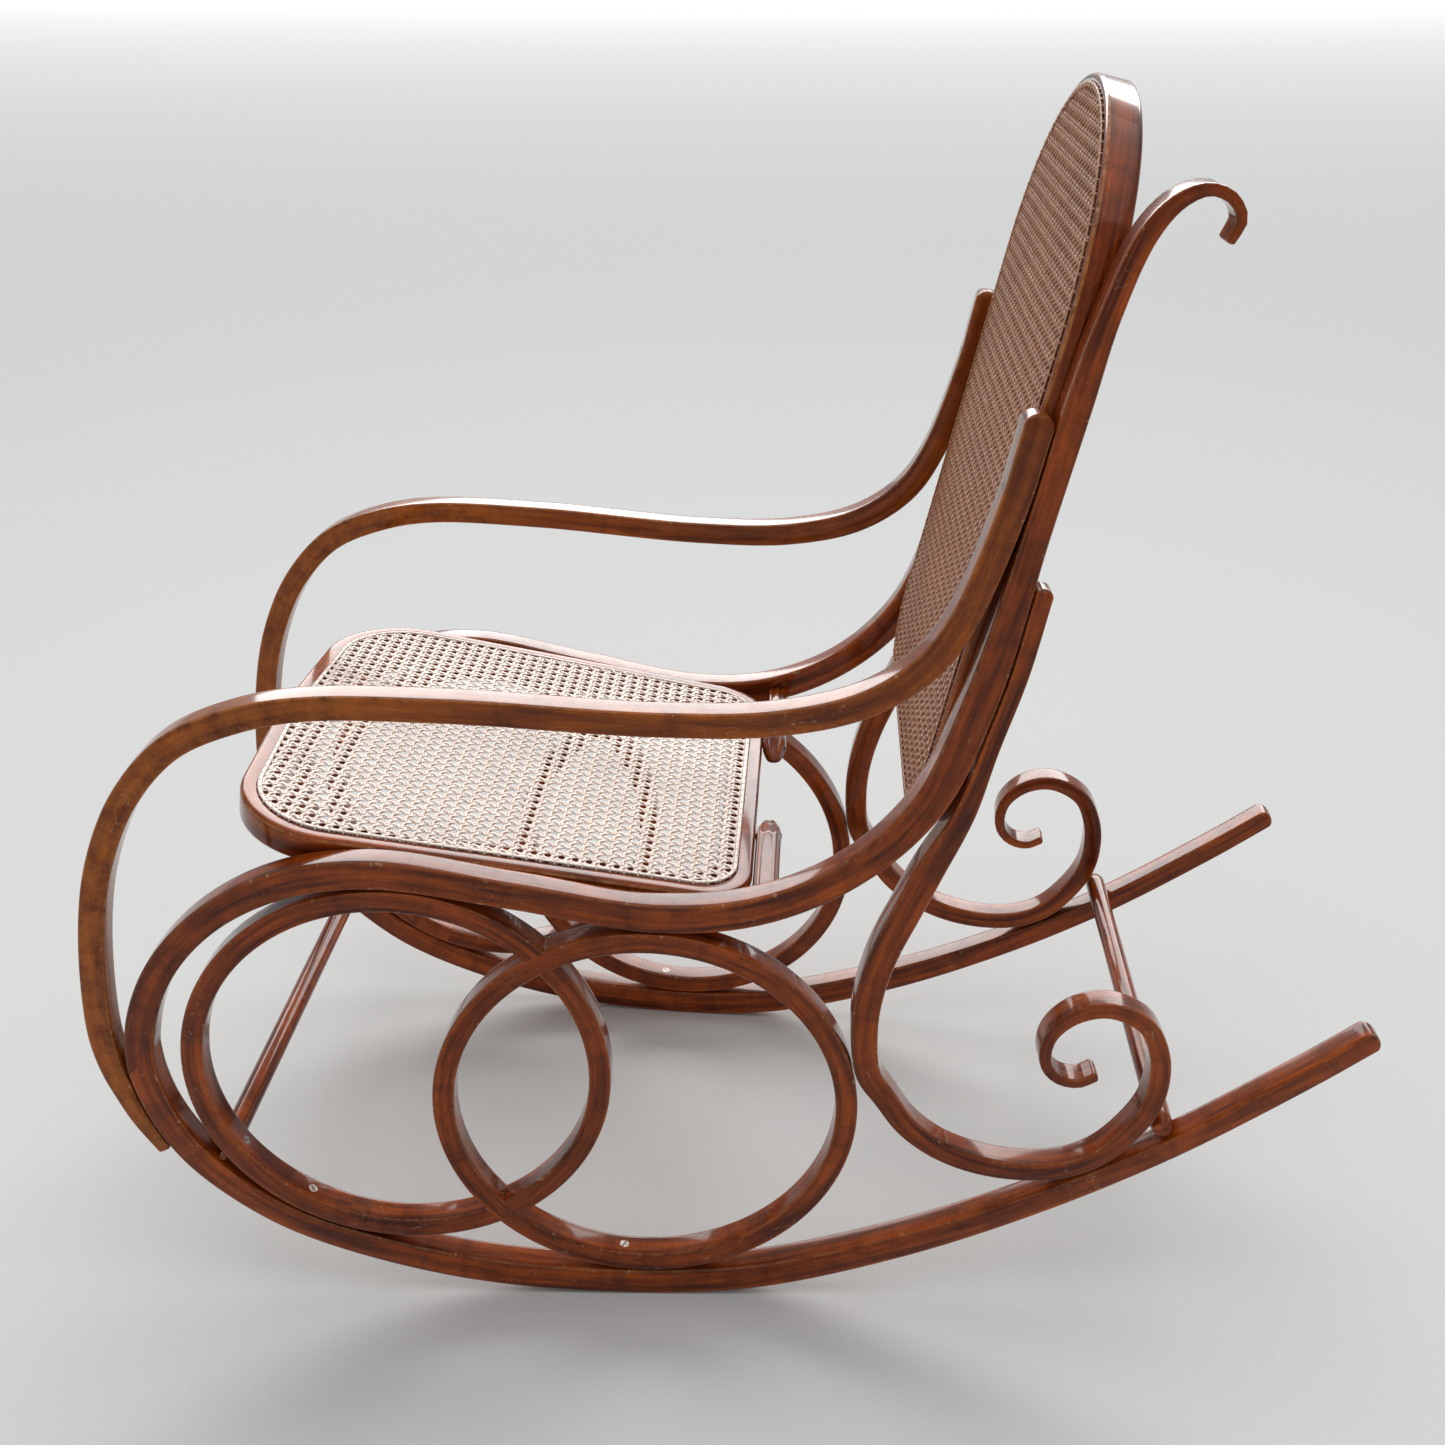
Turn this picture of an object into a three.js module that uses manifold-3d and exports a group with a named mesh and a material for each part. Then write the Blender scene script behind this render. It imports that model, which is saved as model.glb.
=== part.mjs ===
// Bentwood rocking chair with hand-caned seat and back.
// Millimetres, +Z up, the chair faces -Y, the sitter's left is +X, and Z = 0 is the floor.
import * as THREE from "three";
import { mergeVertices } from "three/addons/utils/BufferGeometryUtils.js";
import Module from "manifold-3d";

const wasm = await Module();
wasm.setup();

const degrees = Math.PI / 180;

// Overall layout
const spacing = 462; // between the middle planes of the two side frames, measured at y = 0
const toe = 2.5 * degrees; // each side frame turns in this much towards the back
const stock = 26; // thickness of every bent member, across the chair
const railHeight = 453; // middle of the seat rail where it dips lowest
const postRise = 621; // middle of the top scroll's crown above the seat rail
const touch = 1.3; // between two bent members that bear on each other
const fit = 0.3; // between any other two pieces that meet
const ringSegments = 17; // per half turn of a hoop
const stationStep = 28; // between the cross-sections of a bent member
const edge = 3.5; // rounding along the edges of the bent members

// Depth of the bent members, seen from the side
const tailDepth = 21;
const rockerDepth = 31;
const loopDepth = 27;
const railDepth = 29;
const postDepth = 22;
const armDepth = 24;
const braceTopDepth = 15;
const braceDepth = 26;
const scrollDepth = 20;
const ringDepth = 21;
const tipDepth = 9;

// Places along the chair
const frontRingY = -303;
const rearRingY = -61;
const ringBearing = 12 * degrees; // where the brace bears on the rear ring, above its middle
const elbowGap = 10; // between the post and the arm's last free stretch
const footGap = 1.8; // between the front loop and the arm's foot
const partingGap = 6.8; // between post and brace where they begin to part
const scrollReach = 221; // from the back of the rear ring to the middle of the brace's scroll
const armRise = 204; // middle of the arm's crest above the seat rail
const topCurl = 190; // length of the post's scroll
const scrollCurl = 620; // length of the brace's scroll

// Seat
const seatTilt = 9.3 * degrees;
const seatFrontY = -447;
const seatRearY = 38;
const seatProud = 2; // seat top above the seat rails
const seatThickness = 28;
const seatRim = 34;
const seatFrontRadius = 95;
const seatRearRadius = 48;
const seatCrown = 12; // how far the front edge bows forward
const caneThickness = 2;

// Back
const backLean = 12.6 * degrees;
const backY = 174; // lower end of its front face
const backRise = 70; // the same above the seat rail
const backLength = 624;
const backDepth = 30;
const backRim = 18;
const backArch = 180; // height of the elliptical head
const backRadius = 70;

// Stretchers, brackets and screws
const stretcherRadius = 11;
const tenonRadius = 3.5;
const stretcherInset = 3;
const bracketLength = 152;
const bracketWidth = 22;
const bracketHeight = 20;
const headRadius = 4.6;
const shankRadius = 2;
const headDepth = 2.6;
const screwLength = 34;

const wood = new THREE.MeshStandardMaterial({ color: 0x6e2f17, roughness: 0.35, metalness: 0 });
const cane = new THREE.MeshStandardMaterial({ color: 0xc9a184, roughness: 0.6, metalness: 0 });
const steel = new THREE.MeshStandardMaterial({ color: 0x8b857c, roughness: 0.4, metalness: 1 });

// ---- solids ----

function toSolid(geometry) {
  const bare = geometry.clone();
  bare.deleteAttribute("normal"); // merging needs vertices that differ only in place
  bare.deleteAttribute("uv");
  const merged = mergeVertices(bare, 1e-4);
  const triVerts = new Uint32Array(merged.index.array);
  const vertProperties = merged.attributes.position.array;
  return new wasm.Manifold(new wasm.Mesh({ numProp: 3, vertProperties, triVerts }));
}

function toGeometry(solid) {
  const mesh = solid.getMesh();
  const geometry = new THREE.BufferGeometry();
  geometry.setAttribute("position", new THREE.BufferAttribute(mesh.vertProperties, 3));
  geometry.setIndex(new THREE.BufferAttribute(mesh.triVerts, 1));
  return geometry;
}

// A plate of the given outline, `thick` from back to front and rounded along its edges.
function plate(shape, thick, rounding, curveSegments = 12) {
  const geometry = new THREE.ExtrudeGeometry(shape, {
    depth: thick - 2 * rounding,
    bevelEnabled: true,
    bevelThickness: rounding,
    bevelSize: rounding,
    bevelOffset: -rounding,
    bevelSegments: 1,
    curveSegments,
  });
  return geometry.translate(0, 0, rounding - thick / 2);
}

// Turns a plate drawn in X and Y into a side frame's plane: X becomes Y, Y becomes Z.
function upright(geometry) {
  const [x, y, z] = [new THREE.Vector3(1, 0, 0), new THREE.Vector3(0, 1, 0), new THREE.Vector3(0, 0, 1)];
  return geometry.applyMatrix4(new THREE.Matrix4().makeBasis(y, z, x));
}

// ---- paths in a side frame's plane: [y, z, depth] ----

// A smooth path through the given points, as stations that stand closer over the last `curl` of its length.
function smooth(points, curl = 0) {
  const curve = new THREE.CatmullRomCurve3(points.map((p) => new THREE.Vector3(...p)), false, "centripetal");
  const length = curve.getLength();
  const places = [];
  for (let at = 0; at < length - stationStep / 4; at += at < length - curl ? stationStep : stationStep / 2.5)
    places.push(at / length);
  return stations([...places, 1].map((share) => curve.getPointAt(share)));
}

function stations(points) {
  return points.map((p, i) => {
    const before = points[Math.max(i - 1, 0)];
    const after = points[Math.min(i + 1, points.length - 1)];
    const along = new THREE.Vector2(after.x - before.x, after.y - before.y).normalize();
    return { y: p.x, z: p.y, half: p.z / 2, along, left: new THREE.Vector2(-along.y, along.x) };
  });
}

function circle(centre, radius, depth, count = 36) {
  const points = [];
  for (let i = 0; i <= count; i++) {
    const angle = (i / count) * 2 * Math.PI;
    points.push(new THREE.Vector3(centre.x + radius * Math.cos(angle), centre.y + radius * Math.sin(angle), depth));
  }
  return stations(points);
}

function nearest(path, point) {
  let best = null;
  for (let i = 0; i + 1 < path.length; i++) {
    const [a, b] = [path[i], path[i + 1]];
    const run = new THREE.Vector2(b.y - a.y, b.z - a.z);
    const t = THREE.MathUtils.clamp(run.dot(new THREE.Vector2(point.x - a.y, point.y - a.z)) / run.lengthSq(), 0, 1);
    const foot = new THREE.Vector2(a.y + t * run.x, a.z + t * run.y);
    const distance = foot.distanceTo(point);
    if (!best || distance < best.distance)
      best = { foot, distance, half: THREE.MathUtils.lerp(a.half, b.half, t), index: i };
  }
  return best;
}

// The middle of a circle that bears on every one of the given paths.
function settle(guess, radius, paths, gap) {
  const middle = guess.clone();
  for (let round = 0; round < 800; round++)
    for (const path of paths) {
      const near = nearest(path, middle);
      const away = middle.clone().sub(near.foot).normalize();
      middle.addScaledVector(away, radius + gap + near.half - near.distance);
    }
  return middle;
}

// Points of a path that runs alongside another, on its left (+1) or right (-1), `clear` away from it.
function alongside(path, heights, side, depth, clear = touch) {
  return heights.map(([from, z, thinned = 0, apart = 0]) => {
    const station = path.slice(from).find((s, i, rest) => i + 1 < rest.length && (s.z - z) * (rest[i + 1].z - z) <= 0);
    const own = depth - thinned;
    const reach = side * (station.half + own / 2 + clear + apart);
    return [station.y + reach * station.left.x, station.z + reach * station.left.y, own];
  });
}

// The outline of a member along part of a path. An end is rounded, or slanted where `scarf` says so.
function outline(path, first = 0, last = path.length - 1, scarf = { start: 0, end: 0 }) {
  const side = (from, to, sign) =>
    path.slice(from, to + 1).map((s, i, run) => {
      const atScarf = (scarf.start && i === 0 ? 1 : 0) - (scarf.end && i === run.length - 1 ? 1 : 0);
      const edgePoint = new THREE.Vector2(s.y, s.z).addScaledVector(s.left, sign * s.half);
      return edgePoint.addScaledVector(s.along, (atScarf * fit) / 2);
    });
  const leftSide = side(first + scarf.start, last + scarf.end, 1);
  const rightSide = side(first - scarf.start, last - scarf.end, -1).reverse();
  const nose = (s, sign) => {
    const turns = [-0.5, 0, 0.5];
    return turns.map((t) => {
      const out = s.along.clone().multiplyScalar(sign * s.half * Math.cos(t * Math.PI / 2) * 0.8);
      return new THREE.Vector2(s.y, s.z).add(out).addScaledVector(s.left, -sign * t * 1.4 * s.half);
    });
  };
  const lastNose = scarf.end ? [] : nose(path[last], 1);
  const firstNose = scarf.start ? [] : nose(path[first], -1);
  return new THREE.Shape([...leftSide, ...lastNose, ...rightSide, ...firstNose]);
}

const member = (path, ...ends) => upright(plate(outline(path, ...ends), stock, edge));

// ---- side frame paths ----

// The long runner: rocker tail, floor curve, front loop, seat rail, back post and top scroll.
function runnerPoints(lift) {
  const rocker = [
    [610, 319, tailDepth],
    [556, 276, tailDepth + 1],
    [438, 191, tailDepth + 2],
    [310, 119, tailDepth + 5],
    [175, 61, rockerDepth - 2],
    [33, 22, rockerDepth],
    [-111, 17, rockerDepth],
    [-255, 35.5, rockerDepth],
    [-390, 82, loopDepth + 1],
  ];
  const loop = [
    [-450, 0.27, loopDepth],
    [-499, 0.39, loopDepth],
    [-527, 0.535, loopDepth],
    [-531, 0.68, loopDepth + 1],
    [-503, 0.85, loopDepth],
    [-449, 0.985, loopDepth],
  ].map(([y, share, depth]) => [y, share * railHeight, depth]);
  const rail = [
    [-378, 31, railDepth],
    [-297, 42, railDepth],
    [-173, 21, loopDepth],
    [-44, -2, railDepth],
    [46, 7, railDepth],
    [126, 46, railDepth - 1],
    [188, 112, railDepth + 1],
    [226, 209, railDepth + 1],
  ].map(([y, rise, depth]) => [y, railHeight + rise, depth]);
  const post = [
    [262, -259, postDepth],
    [284, -159, postDepth],
    [301, -89, postDepth - 4],
    [322, -32, postDepth - 6],
    [342, -8, 13],
    [362, 0, 10],
    [379, -6, tipDepth],
    [388, -21, tipDepth],
    [382, -36, tipDepth],
  ].map(([y, drop, depth]) => [y, railHeight + postRise + drop, depth]);
  return [...rocker, ...loop, ...rail, ...post].map(([y, z, depth]) => [y, z + lift, depth]);
}

// The runner stands with its lowest edge on the floor.
const lowest = Math.min(...smooth(runnerPoints(0)).map((s) => s.z - s.half));
const runner = smooth(runnerPoints(-lowest), topCurl);
const crest = runner.findIndex((s) => s.y < frontRingY && s.z > railHeight); // start of the seat rail
const front = runner.reduce((best, s, i) => (s.y < runner[best].y ? i : best), 0); // foremost station
const floorRun = runner.slice(0, front + 1);
const railRun = runner.slice(front);

const heightAt = (path, y) => {
  const index = path.findIndex((s, i) => i + 1 < path.length && (s.y - y) * (path[i + 1].y - y) <= 0);
  const [a, b] = [path[index], path[index + 1]];
  return THREE.MathUtils.lerp(a.z, b.z, (y - a.y) / (b.y - a.y));
};

// The hoops: both as wide as the height between rocker and seat rail allows at the rear one.
const midHeight = (heightAt(railRun, rearRingY) + heightAt(floorRun, rearRingY)) / 2;
const rearMiddle = new THREE.Vector2(rearRingY, midHeight);
const room = [railRun, floorRun].map((path) => nearest(path, rearMiddle)).map((near) => near.distance - near.half);
const ringOuter = (room[0] + room[1]) / 2 - touch;
const ringMiddle = ringOuter - ringDepth / 2;
const rearRing = new THREE.Vector2(rearRingY, midHeight + (room[1] > room[0] ? -1 : 1) * Math.abs(room[1] - room[0]) / 2);
const frontGuess = new THREE.Vector2(frontRingY, midHeight + 40);
const frontRing = settle(frontGuess, ringOuter, [railRun, floorRun], touch);

// The brace: up behind the post, down past the rear ring, round onto the rocker and into its scroll.
function bracePoints(scrollZ) {
  const behindPost = alongside(runner, [317, 247, 177].map((rise) => [front, railHeight + rise]), -1, braceTopDepth);
  const [parting] = alongside(runner, [[front, railHeight + 132]], -1, braceTopDepth + 4, partingGap);
  const ringBack = rearRing.x + ringOuter;
  const down = [
    [0.34, 50, braceDepth],
    [0.58, 5, braceDepth + 1],
    [0.8, -37, braceDepth + 1],
    [0.95, -79, braceDepth],
    [1, -120, braceDepth - 1],
  ].map(([share, rise, depth]) => [THREE.MathUtils.lerp(parting[0], ringBack + 5, share), railHeight + rise, depth]);
  const bearingDepth = braceDepth - 2;
  const reach = ringOuter + touch + bearingDepth / 2;
  const besideRing = [
    rearRing.x + reach * Math.cos(ringBearing),
    rearRing.y + reach * Math.sin(ringBearing),
    bearingDepth,
  ];
  const scroll = [
    [-194, -36, scrollDepth + 3],
    [-171, -71, scrollDepth + 2],
    [-140, -98, scrollDepth + 1],
    [-101, -116, scrollDepth + 1],
    [-59, -124, scrollDepth],
    [-19, -121, scrollDepth],
    [12, -107, scrollDepth],
    [38, -79, scrollDepth],
    [56, -46, scrollDepth],
    [61, -12, scrollDepth],
    [57, 20, scrollDepth - 1],
    [42, 50, scrollDepth - 3],
    [8, 67, scrollDepth - 4],
    [-22, 61, scrollDepth - 5],
    [-42, 42, scrollDepth - 7],
    [-48, 22, scrollDepth - 8],
    [-45, 2, scrollDepth - 9],
    [-32, -12, tipDepth + 1],
    [-14, -16, tipDepth],
    [0, -9, tipDepth],
  ].map(([y, z, depth]) => [ringBack + scrollReach + y, scrollZ + z, depth]);
  return [...behindPost, parting, ...down, besideRing, ...scroll];
}

// The scroll is let down until it bears on the rocker.
function bearingHeight(points, support) {
  let height = heightAt(floorRun, rearRing.x + ringOuter + scrollReach) + 180;
  for (let round = 0; round < 40; round++) {
    const path = smooth(points(height), scrollCurl);
    const lower = path.slice(Math.round(path.length / 2));
    const clear = lower.map((s) => {
      const near = nearest(support, new THREE.Vector2(s.y, s.z));
      return near.distance - near.half - s.half;
    });
    height -= Math.min(...clear) - touch;
  }
  return height;
}
const scrollZ = bearingHeight(bracePoints, floorRun);
const brace = smooth(bracePoints(scrollZ), scrollCurl);

// The arm: a foot that thins out down the front of the loop, over and back, and up against the front of the post.
const footPlaces = [
  [0.44, 12, 0],
  [0.5, 8, 0],
  [0.563, 4.5, 0],
  [0.634, 1.5, 2.5],
  [0.706, 0, 9],
].map(([share, thinned, apart]) => [Math.round(front / 2), share * railHeight, thinned, apart]);
const foot = alongside(runner, footPlaces, 1, armDepth, footGap);
const armTop = railHeight + armRise;
const rest = [
  [-554, -226, armDepth],
  [-534, -151, armDepth],
  [-501, -86, armDepth],
  [-455, -37, armDepth],
  [-400, -12, armDepth],
  [-340, 0, armDepth - 1],
  [-219, -1, armDepth - 1],
  [-39, -13, armDepth - 1],
  [60, -11, armDepth],
  [133, 7, armDepth + 1],
  [182, 41, armDepth + 1],
].map(([y, rise, depth]) => [y, armTop + rise, depth]);
const elbow = alongside(runner, [[front, armTop + 98]], 1, armDepth, elbowGap);
const shoulder = alongside(runner, [186, 213, 239].map((rise) => [front, armTop + rise]), 1, armDepth);
const arm = smooth([...foot, ...rest, ...elbow, ...shoulder]);

// ---- side frame pieces ----

function ring(centre) {
  const shape = new THREE.Shape().absarc(centre.x, centre.y, ringOuter, 0, 2 * Math.PI);
  shape.holes.push(new THREE.Path().absarc(centre.x, centre.y, ringOuter - ringDepth, 0, 2 * Math.PI, true));
  return upright(plate(shape, stock, edge, ringSegments));
}

// The half of a ring's band on one side of the middle plane, with room round it, to cut the other ring.
function lapCutter(centre, side) {
  const shape = new THREE.Shape().absarc(centre.x, centre.y, ringOuter + fit, 0, 2 * Math.PI);
  shape.holes.push(new THREE.Path().absarc(centre.x, centre.y, ringOuter - ringDepth - fit, 0, 2 * Math.PI, true));
  const geometry = new THREE.ExtrudeGeometry(shape, { depth: stock, bevelEnabled: false, curveSegments: ringSegments });
  geometry.translate(0, 0, side > 0 ? -fit / 2 : fit / 2 - stock);
  return toSolid(upright(geometry));
}

// Screws: each goes in at a point of a face, heading along a direction in the frame's plane.
function screwProfile(grow, length) {
  const top = grow ? 3 : 0;
  return [
    [0, -top],
    [headRadius + grow, -top],
    [headRadius + grow, 0.5],
    [shankRadius + grow, headDepth + grow],
    [shankRadius + grow, length + grow],
    [0, length + grow],
  ].map(([radius, along]) => new THREE.Vector2(radius, along));
}

function placeScrew(geometry, { at, heading }) {
  const turn = new THREE.Quaternion().setFromUnitVectors(
    new THREE.Vector3(0, 1, 0),
    new THREE.Vector3(0, heading.x, heading.y),
  );
  return geometry.applyQuaternion(turn).translate(0, at.x, at.y);
}

function screwSolid(screw) {
  const body = toSolid(new THREE.LatheGeometry(screwProfile(0, screw.length), 8));
  const slot = toSolid(new THREE.BoxGeometry(1.2, 2.4, 3 * headRadius));
  return placeScrew(toGeometry(body.subtract(slot)), screw);
}

const screwHole = (screw) => toSolid(placeScrew(new THREE.LatheGeometry(screwProfile(fit, screw.length), 8), screw));

// A screw through a ring, from its inner face outwards at the given angle.
function ringScrew(name, centre, angle, length = screwLength) {
  const heading = new THREE.Vector2(Math.cos(angle * degrees), Math.sin(angle * degrees));
  const at = centre.clone().addScaledVector(heading, ringOuter - ringDepth + 0.4);
  return { name, at, heading, length };
}

// A screw across a path, from its left (+1) or right (-1) face, at the station nearest a point.
function memberScrew(name, path, y, z, side, length = screwLength) {
  const near = nearest(path, new THREE.Vector2(y, z));
  const station = path[near.index];
  const heading = station.left.clone().multiplyScalar(-side);
  const at = new THREE.Vector2(station.y, station.z).addScaledVector(heading, -station.half + 0.4);
  return { name, at, heading, length };
}

const bearing = (from, to) => Math.atan2(to.y - from.y, to.x - from.x) / degrees;

// Stretcher places: the front one in the wedge of loop and ring, the rear one of scroll and rocker.
const slack = (stock / 2) * Math.tan(toe);
const frontRingPath = circle(frontRing, ringMiddle, ringDepth);
const frontStretcher = settle(new THREE.Vector2(-469, 162), tenonRadius, [runner.slice(0, crest), frontRingPath], slack + touch);
const rearStretcher = settle(new THREE.Vector2(442, 214), stretcherRadius, [floorRun, brace], slack + touch);

const screws = [
  memberScrew("arm_foot_screw_upper", runner.slice(0, crest), -525, 292, 1),
  memberScrew("arm_foot_screw_lower", runner.slice(0, crest), -512, 238, 1),
  ringScrew("front_ring_stretcher_screw", frontRing, bearing(frontRing, frontStretcher), ringDepth + tenonRadius),
  ringScrew("front_ring_rocker_screw", frontRing, 237),
  ringScrew("front_ring_rail_screw", frontRing, 88),
  ringScrew("rear_ring_rocker_screw", rearRing, 262),
  ringScrew("rear_ring_rail_screw", rearRing, 84),
  memberScrew("arm_end_screw", arm, 240, 850, 1),
  memberScrew("brace_top_screw", brace, 262, 712, 1),
];

// From a side frame's own plane to the sitter's left side of the chair.
const frameMatrix = new THREE.Matrix4().makeRotationZ(toe).setPosition(spacing / 2, 0, 0);

function sideFrame(side) {
  const solids = {
    rocker: toSolid(member(runner, 0, front, { start: 0, end: 1 })),
    rail_and_post: toSolid(member(runner, front, runner.length - 1, { start: 1, end: 0 })),
    arm: toSolid(member(arm)),
    scroll_brace: toSolid(member(brace)),
    front_ring: toSolid(ring(frontRing)).subtract(lapCutter(rearRing, 1)),
    rear_ring: toSolid(ring(rearRing)).subtract(lapCutter(frontRing, -1)),
  };
  const group = new THREE.Group();
  for (const [name, solid] of Object.entries(solids)) {
    const drilled = screws.reduce((left, screw) => left.subtract(screwHole(screw)), solid);
    group.add(named(`${side}_${name}`, toGeometry(drilled), wood));
  }
  for (const screw of screws) group.add(named(`${side}_${screw.name}`, screwSolid(screw), steel));
  group.applyMatrix4(frameMatrix);
  return group;
}

function named(name, geometry, material) {
  const mesh = new THREE.Mesh(geometry, material);
  mesh.name = name;
  return mesh;
}

// ---- pieces between the side frames ----

// Half the room between the side frames at a given y.
const halfRoom = (y) => spacing / 2 - stock / 2 / Math.cos(toe) - y * Math.tan(toe);

// A closed outline with each corner rounded by its own radius, corners given anticlockwise.
function rounded(corners) {
  const shape = new THREE.Shape();
  corners.forEach(([x, y, radius], i) => {
    const here = new THREE.Vector2(x, y);
    const back = new THREE.Vector2(...corners.at(i - 1)).sub(here).normalize();
    const ahead = new THREE.Vector2(...corners[(i + 1) % corners.length]).sub(here).normalize();
    const half = Math.acos(back.dot(ahead)) / 2;
    const middle = here.clone().addScaledVector(back.clone().add(ahead).normalize(), radius / Math.sin(half));
    const turn = Math.PI - 2 * half;
    const start = Math.atan2(-back.x, back.y) + Math.PI;
    shape.absarc(middle.x, middle.y, radius, start, start + turn, false);
  });
  return shape;
}

// The seat's outline, drawn in from its outer edge by `inset`; y runs back down the slope from the front.
const seatLength = (seatRearY - seatFrontY) / Math.cos(seatTilt);
function seatOutline(inset) {
  const crownAt = 0.5 * (halfRoom(seatFrontY) + halfRoom(seatRearY));
  const wide = (y) => halfRoom(seatFrontY + y * Math.cos(seatTilt)) - fit - inset;
  return rounded([
    [0, inset, 3 * crownAt],
    [wide(seatCrown), seatCrown + inset, seatFrontRadius - inset],
    [wide(seatLength), seatLength - inset, seatRearRadius - inset / 2],
    [-wide(seatLength), seatLength - inset, seatRearRadius - inset / 2],
    [-wide(seatCrown), seatCrown + inset, seatFrontRadius - inset],
  ]);
}

function seat() {
  const frame = seatOutline(0);
  frame.holes.push(seatOutline(seatRim));
  const railTop = nearest(railRun, new THREE.Vector2(frontRingY, railHeight + 60));
  const group = new THREE.Group();
  const frameMesh = named("seat_frame", plate(frame, seatThickness, edge, 4), wood);
  frameMesh.position.z = -seatThickness / 2;
  const panel = new THREE.ExtrudeGeometry(seatOutline(seatRim + fit), {
    depth: caneThickness,
    bevelEnabled: false,
    curveSegments: 4,
  });
  const caneMesh = named("seat_cane", panel, cane);
  caneMesh.position.z = -caneThickness;
  group.add(frameMesh, caneMesh);
  const rise = (frontRingY - seatFrontY) * Math.tan(seatTilt);
  group.position.set(0, seatFrontY, railTop.foot.y + railTop.half + seatProud + rise);
  group.rotation.x = -seatTilt;
  return group;
}

// The back's outline: straight sides that close in with the side frames, under an elliptical head.
function backOutline(inset) {
  const rearY = backY + backDepth * Math.cos(backLean);
  const wide = (t) => halfRoom(rearY + t * Math.sin(backLean)) - fit - inset;
  const spring = backLength - backArch;
  const radius = backRadius - inset / 2;
  const shape = new THREE.Shape();
  shape.absarc(wide(radius) - radius, radius + inset, radius, -Math.PI / 2, 0, false);
  shape.absellipse(0, spring, wide(spring), backArch - inset, 0, Math.PI, false);
  shape.absarc(radius - wide(radius), radius + inset, radius, Math.PI, 1.5 * Math.PI, false);
  return shape;
}

function back() {
  const frame = backOutline(0);
  frame.holes.push(backOutline(backRim));
  const group = new THREE.Group();
  const frameMesh = named("back_frame", plate(frame, backDepth, edge, 8), wood);
  frameMesh.position.z = -backDepth / 2;
  const panel = new THREE.ExtrudeGeometry(backOutline(backRim + fit), {
    depth: caneThickness,
    bevelEnabled: false,
    curveSegments: 8,
  });
  const caneMesh = named("back_cane", panel, cane);
  caneMesh.position.z = -caneThickness;
  group.add(frameMesh, caneMesh);
  group.position.set(0, backY, railHeight + backRise);
  group.rotation.x = Math.PI / 2 - backLean;
  return group;
}

// A round bar across the chair, drawn by half its profile: [radius, distance from the middle].
function bar(name, profile, place) {
  const ends = [...profile, ...profile.map(([radius, x]) => [radius, -x]).reverse()];
  const lathe = new THREE.LatheGeometry(ends.map((p) => new THREE.Vector2(...p)).reverse(), 14);
  lathe.rotateZ(-Math.PI / 2).translate(0, place.x * Math.cos(toe), place.y);
  const drilled = screws.reduce((left, screw) => {
    const hole = toGeometry(screwHole(screw)).applyMatrix4(frameMatrix);
    const mirrored = hole.clone().scale(-1, 1, 1);
    mirrored.index.array.reverse();
    return left.subtract(toSolid(hole)).subtract(toSolid(mirrored));
  }, toSolid(lathe));
  return named(name, toGeometry(drilled), wood);
}

function stretchers() {
  const shoulderAt = halfRoom(frontStretcher.x) - stretcherRadius * Math.sin(toe) - fit;
  const tenonEnd = shoulderAt + stock - stretcherInset;
  const rearEnd = halfRoom(rearStretcher.x) + stock - stretcherInset;
  const frontBar = bar("front_stretcher", [
    [0, tenonEnd],
    [tenonRadius, tenonEnd],
    [tenonRadius, shoulderAt],
    [stretcherRadius, shoulderAt],
  ], frontStretcher);
  const rearBar = bar("rear_stretcher", [
    [0, rearEnd],
    [stretcherRadius - 2, rearEnd],
    [stretcherRadius, rearEnd - 2],
  ], rearStretcher);
  return [frontBar, rearBar];
}

// A moulded block from the seat rail's inner face along the back edge of the seat.
function bracket(side) {
  const sign = side === "left" ? 1 : -1;
  const backEdge = seatRearY + 1 + bracketWidth / 2;
  const outer = halfRoom(backEdge + bracketWidth / 2) - fit;
  const inner = outer - bracketLength;
  const half = bracketWidth / 2;
  const shape = new THREE.Shape();
  shape.moveTo(outer, half);
  shape.lineTo(inner + 26, half);
  shape.quadraticCurveTo(inner + 4, half, inner, -half * 0.8);
  shape.lineTo(inner + 8, -half);
  shape.lineTo(outer, -half);
  const mesh = named(`${side}_seat_bracket`, plate(shape, bracketHeight, edge, 5), wood);
  mesh.geometry.scale(sign, 1, 1);
  if (sign < 0) flip(mesh.geometry);
  const seatTop = nearest(railRun, new THREE.Vector2(backEdge, railHeight)).foot.y;
  mesh.position.set(0, backEdge, seatTop - 8);
  return mesh;
}

// Turns a mirrored geometry's faces the right way out again.
function flip(geometry) {
  const position = geometry.getAttribute("position");
  for (let i = 0; i < position.count; i += 3)
    for (const get of ["X", "Y", "Z"]) {
      const kept = position[`get${get}`](i);
      position[`set${get}`](i, position[`get${get}`](i + 1));
      position[`set${get}`](i + 1, kept);
    }
}

const chair = new THREE.Group();
chair.name = "rocking_chair";
chair.add(sideFrame("left"));
const rightSide = new THREE.Group();
rightSide.scale.x = -1;
rightSide.add(sideFrame("right"));
chair.add(rightSide);
chair.add(seat(), back(), ...stretchers(), bracket("left"), bracket("right"));

// The frame's origin is on the floor, under the middle of the whole chair.
const extent = new THREE.Box3().setFromObject(chair, true);
chair.position.set(0, -(extent.min.y + extent.max.y) / 2, -extent.min.z);

export default chair;
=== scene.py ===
"""Bentwood rocking chair with hand-caned seat and back: the finished look around its frame."""

import math

import bmesh
import bpy
import numpy as np
from bpy.props import FloatProperty, FloatVectorProperty, IntProperty, PointerProperty
from mathutils import Matrix, Vector


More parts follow.
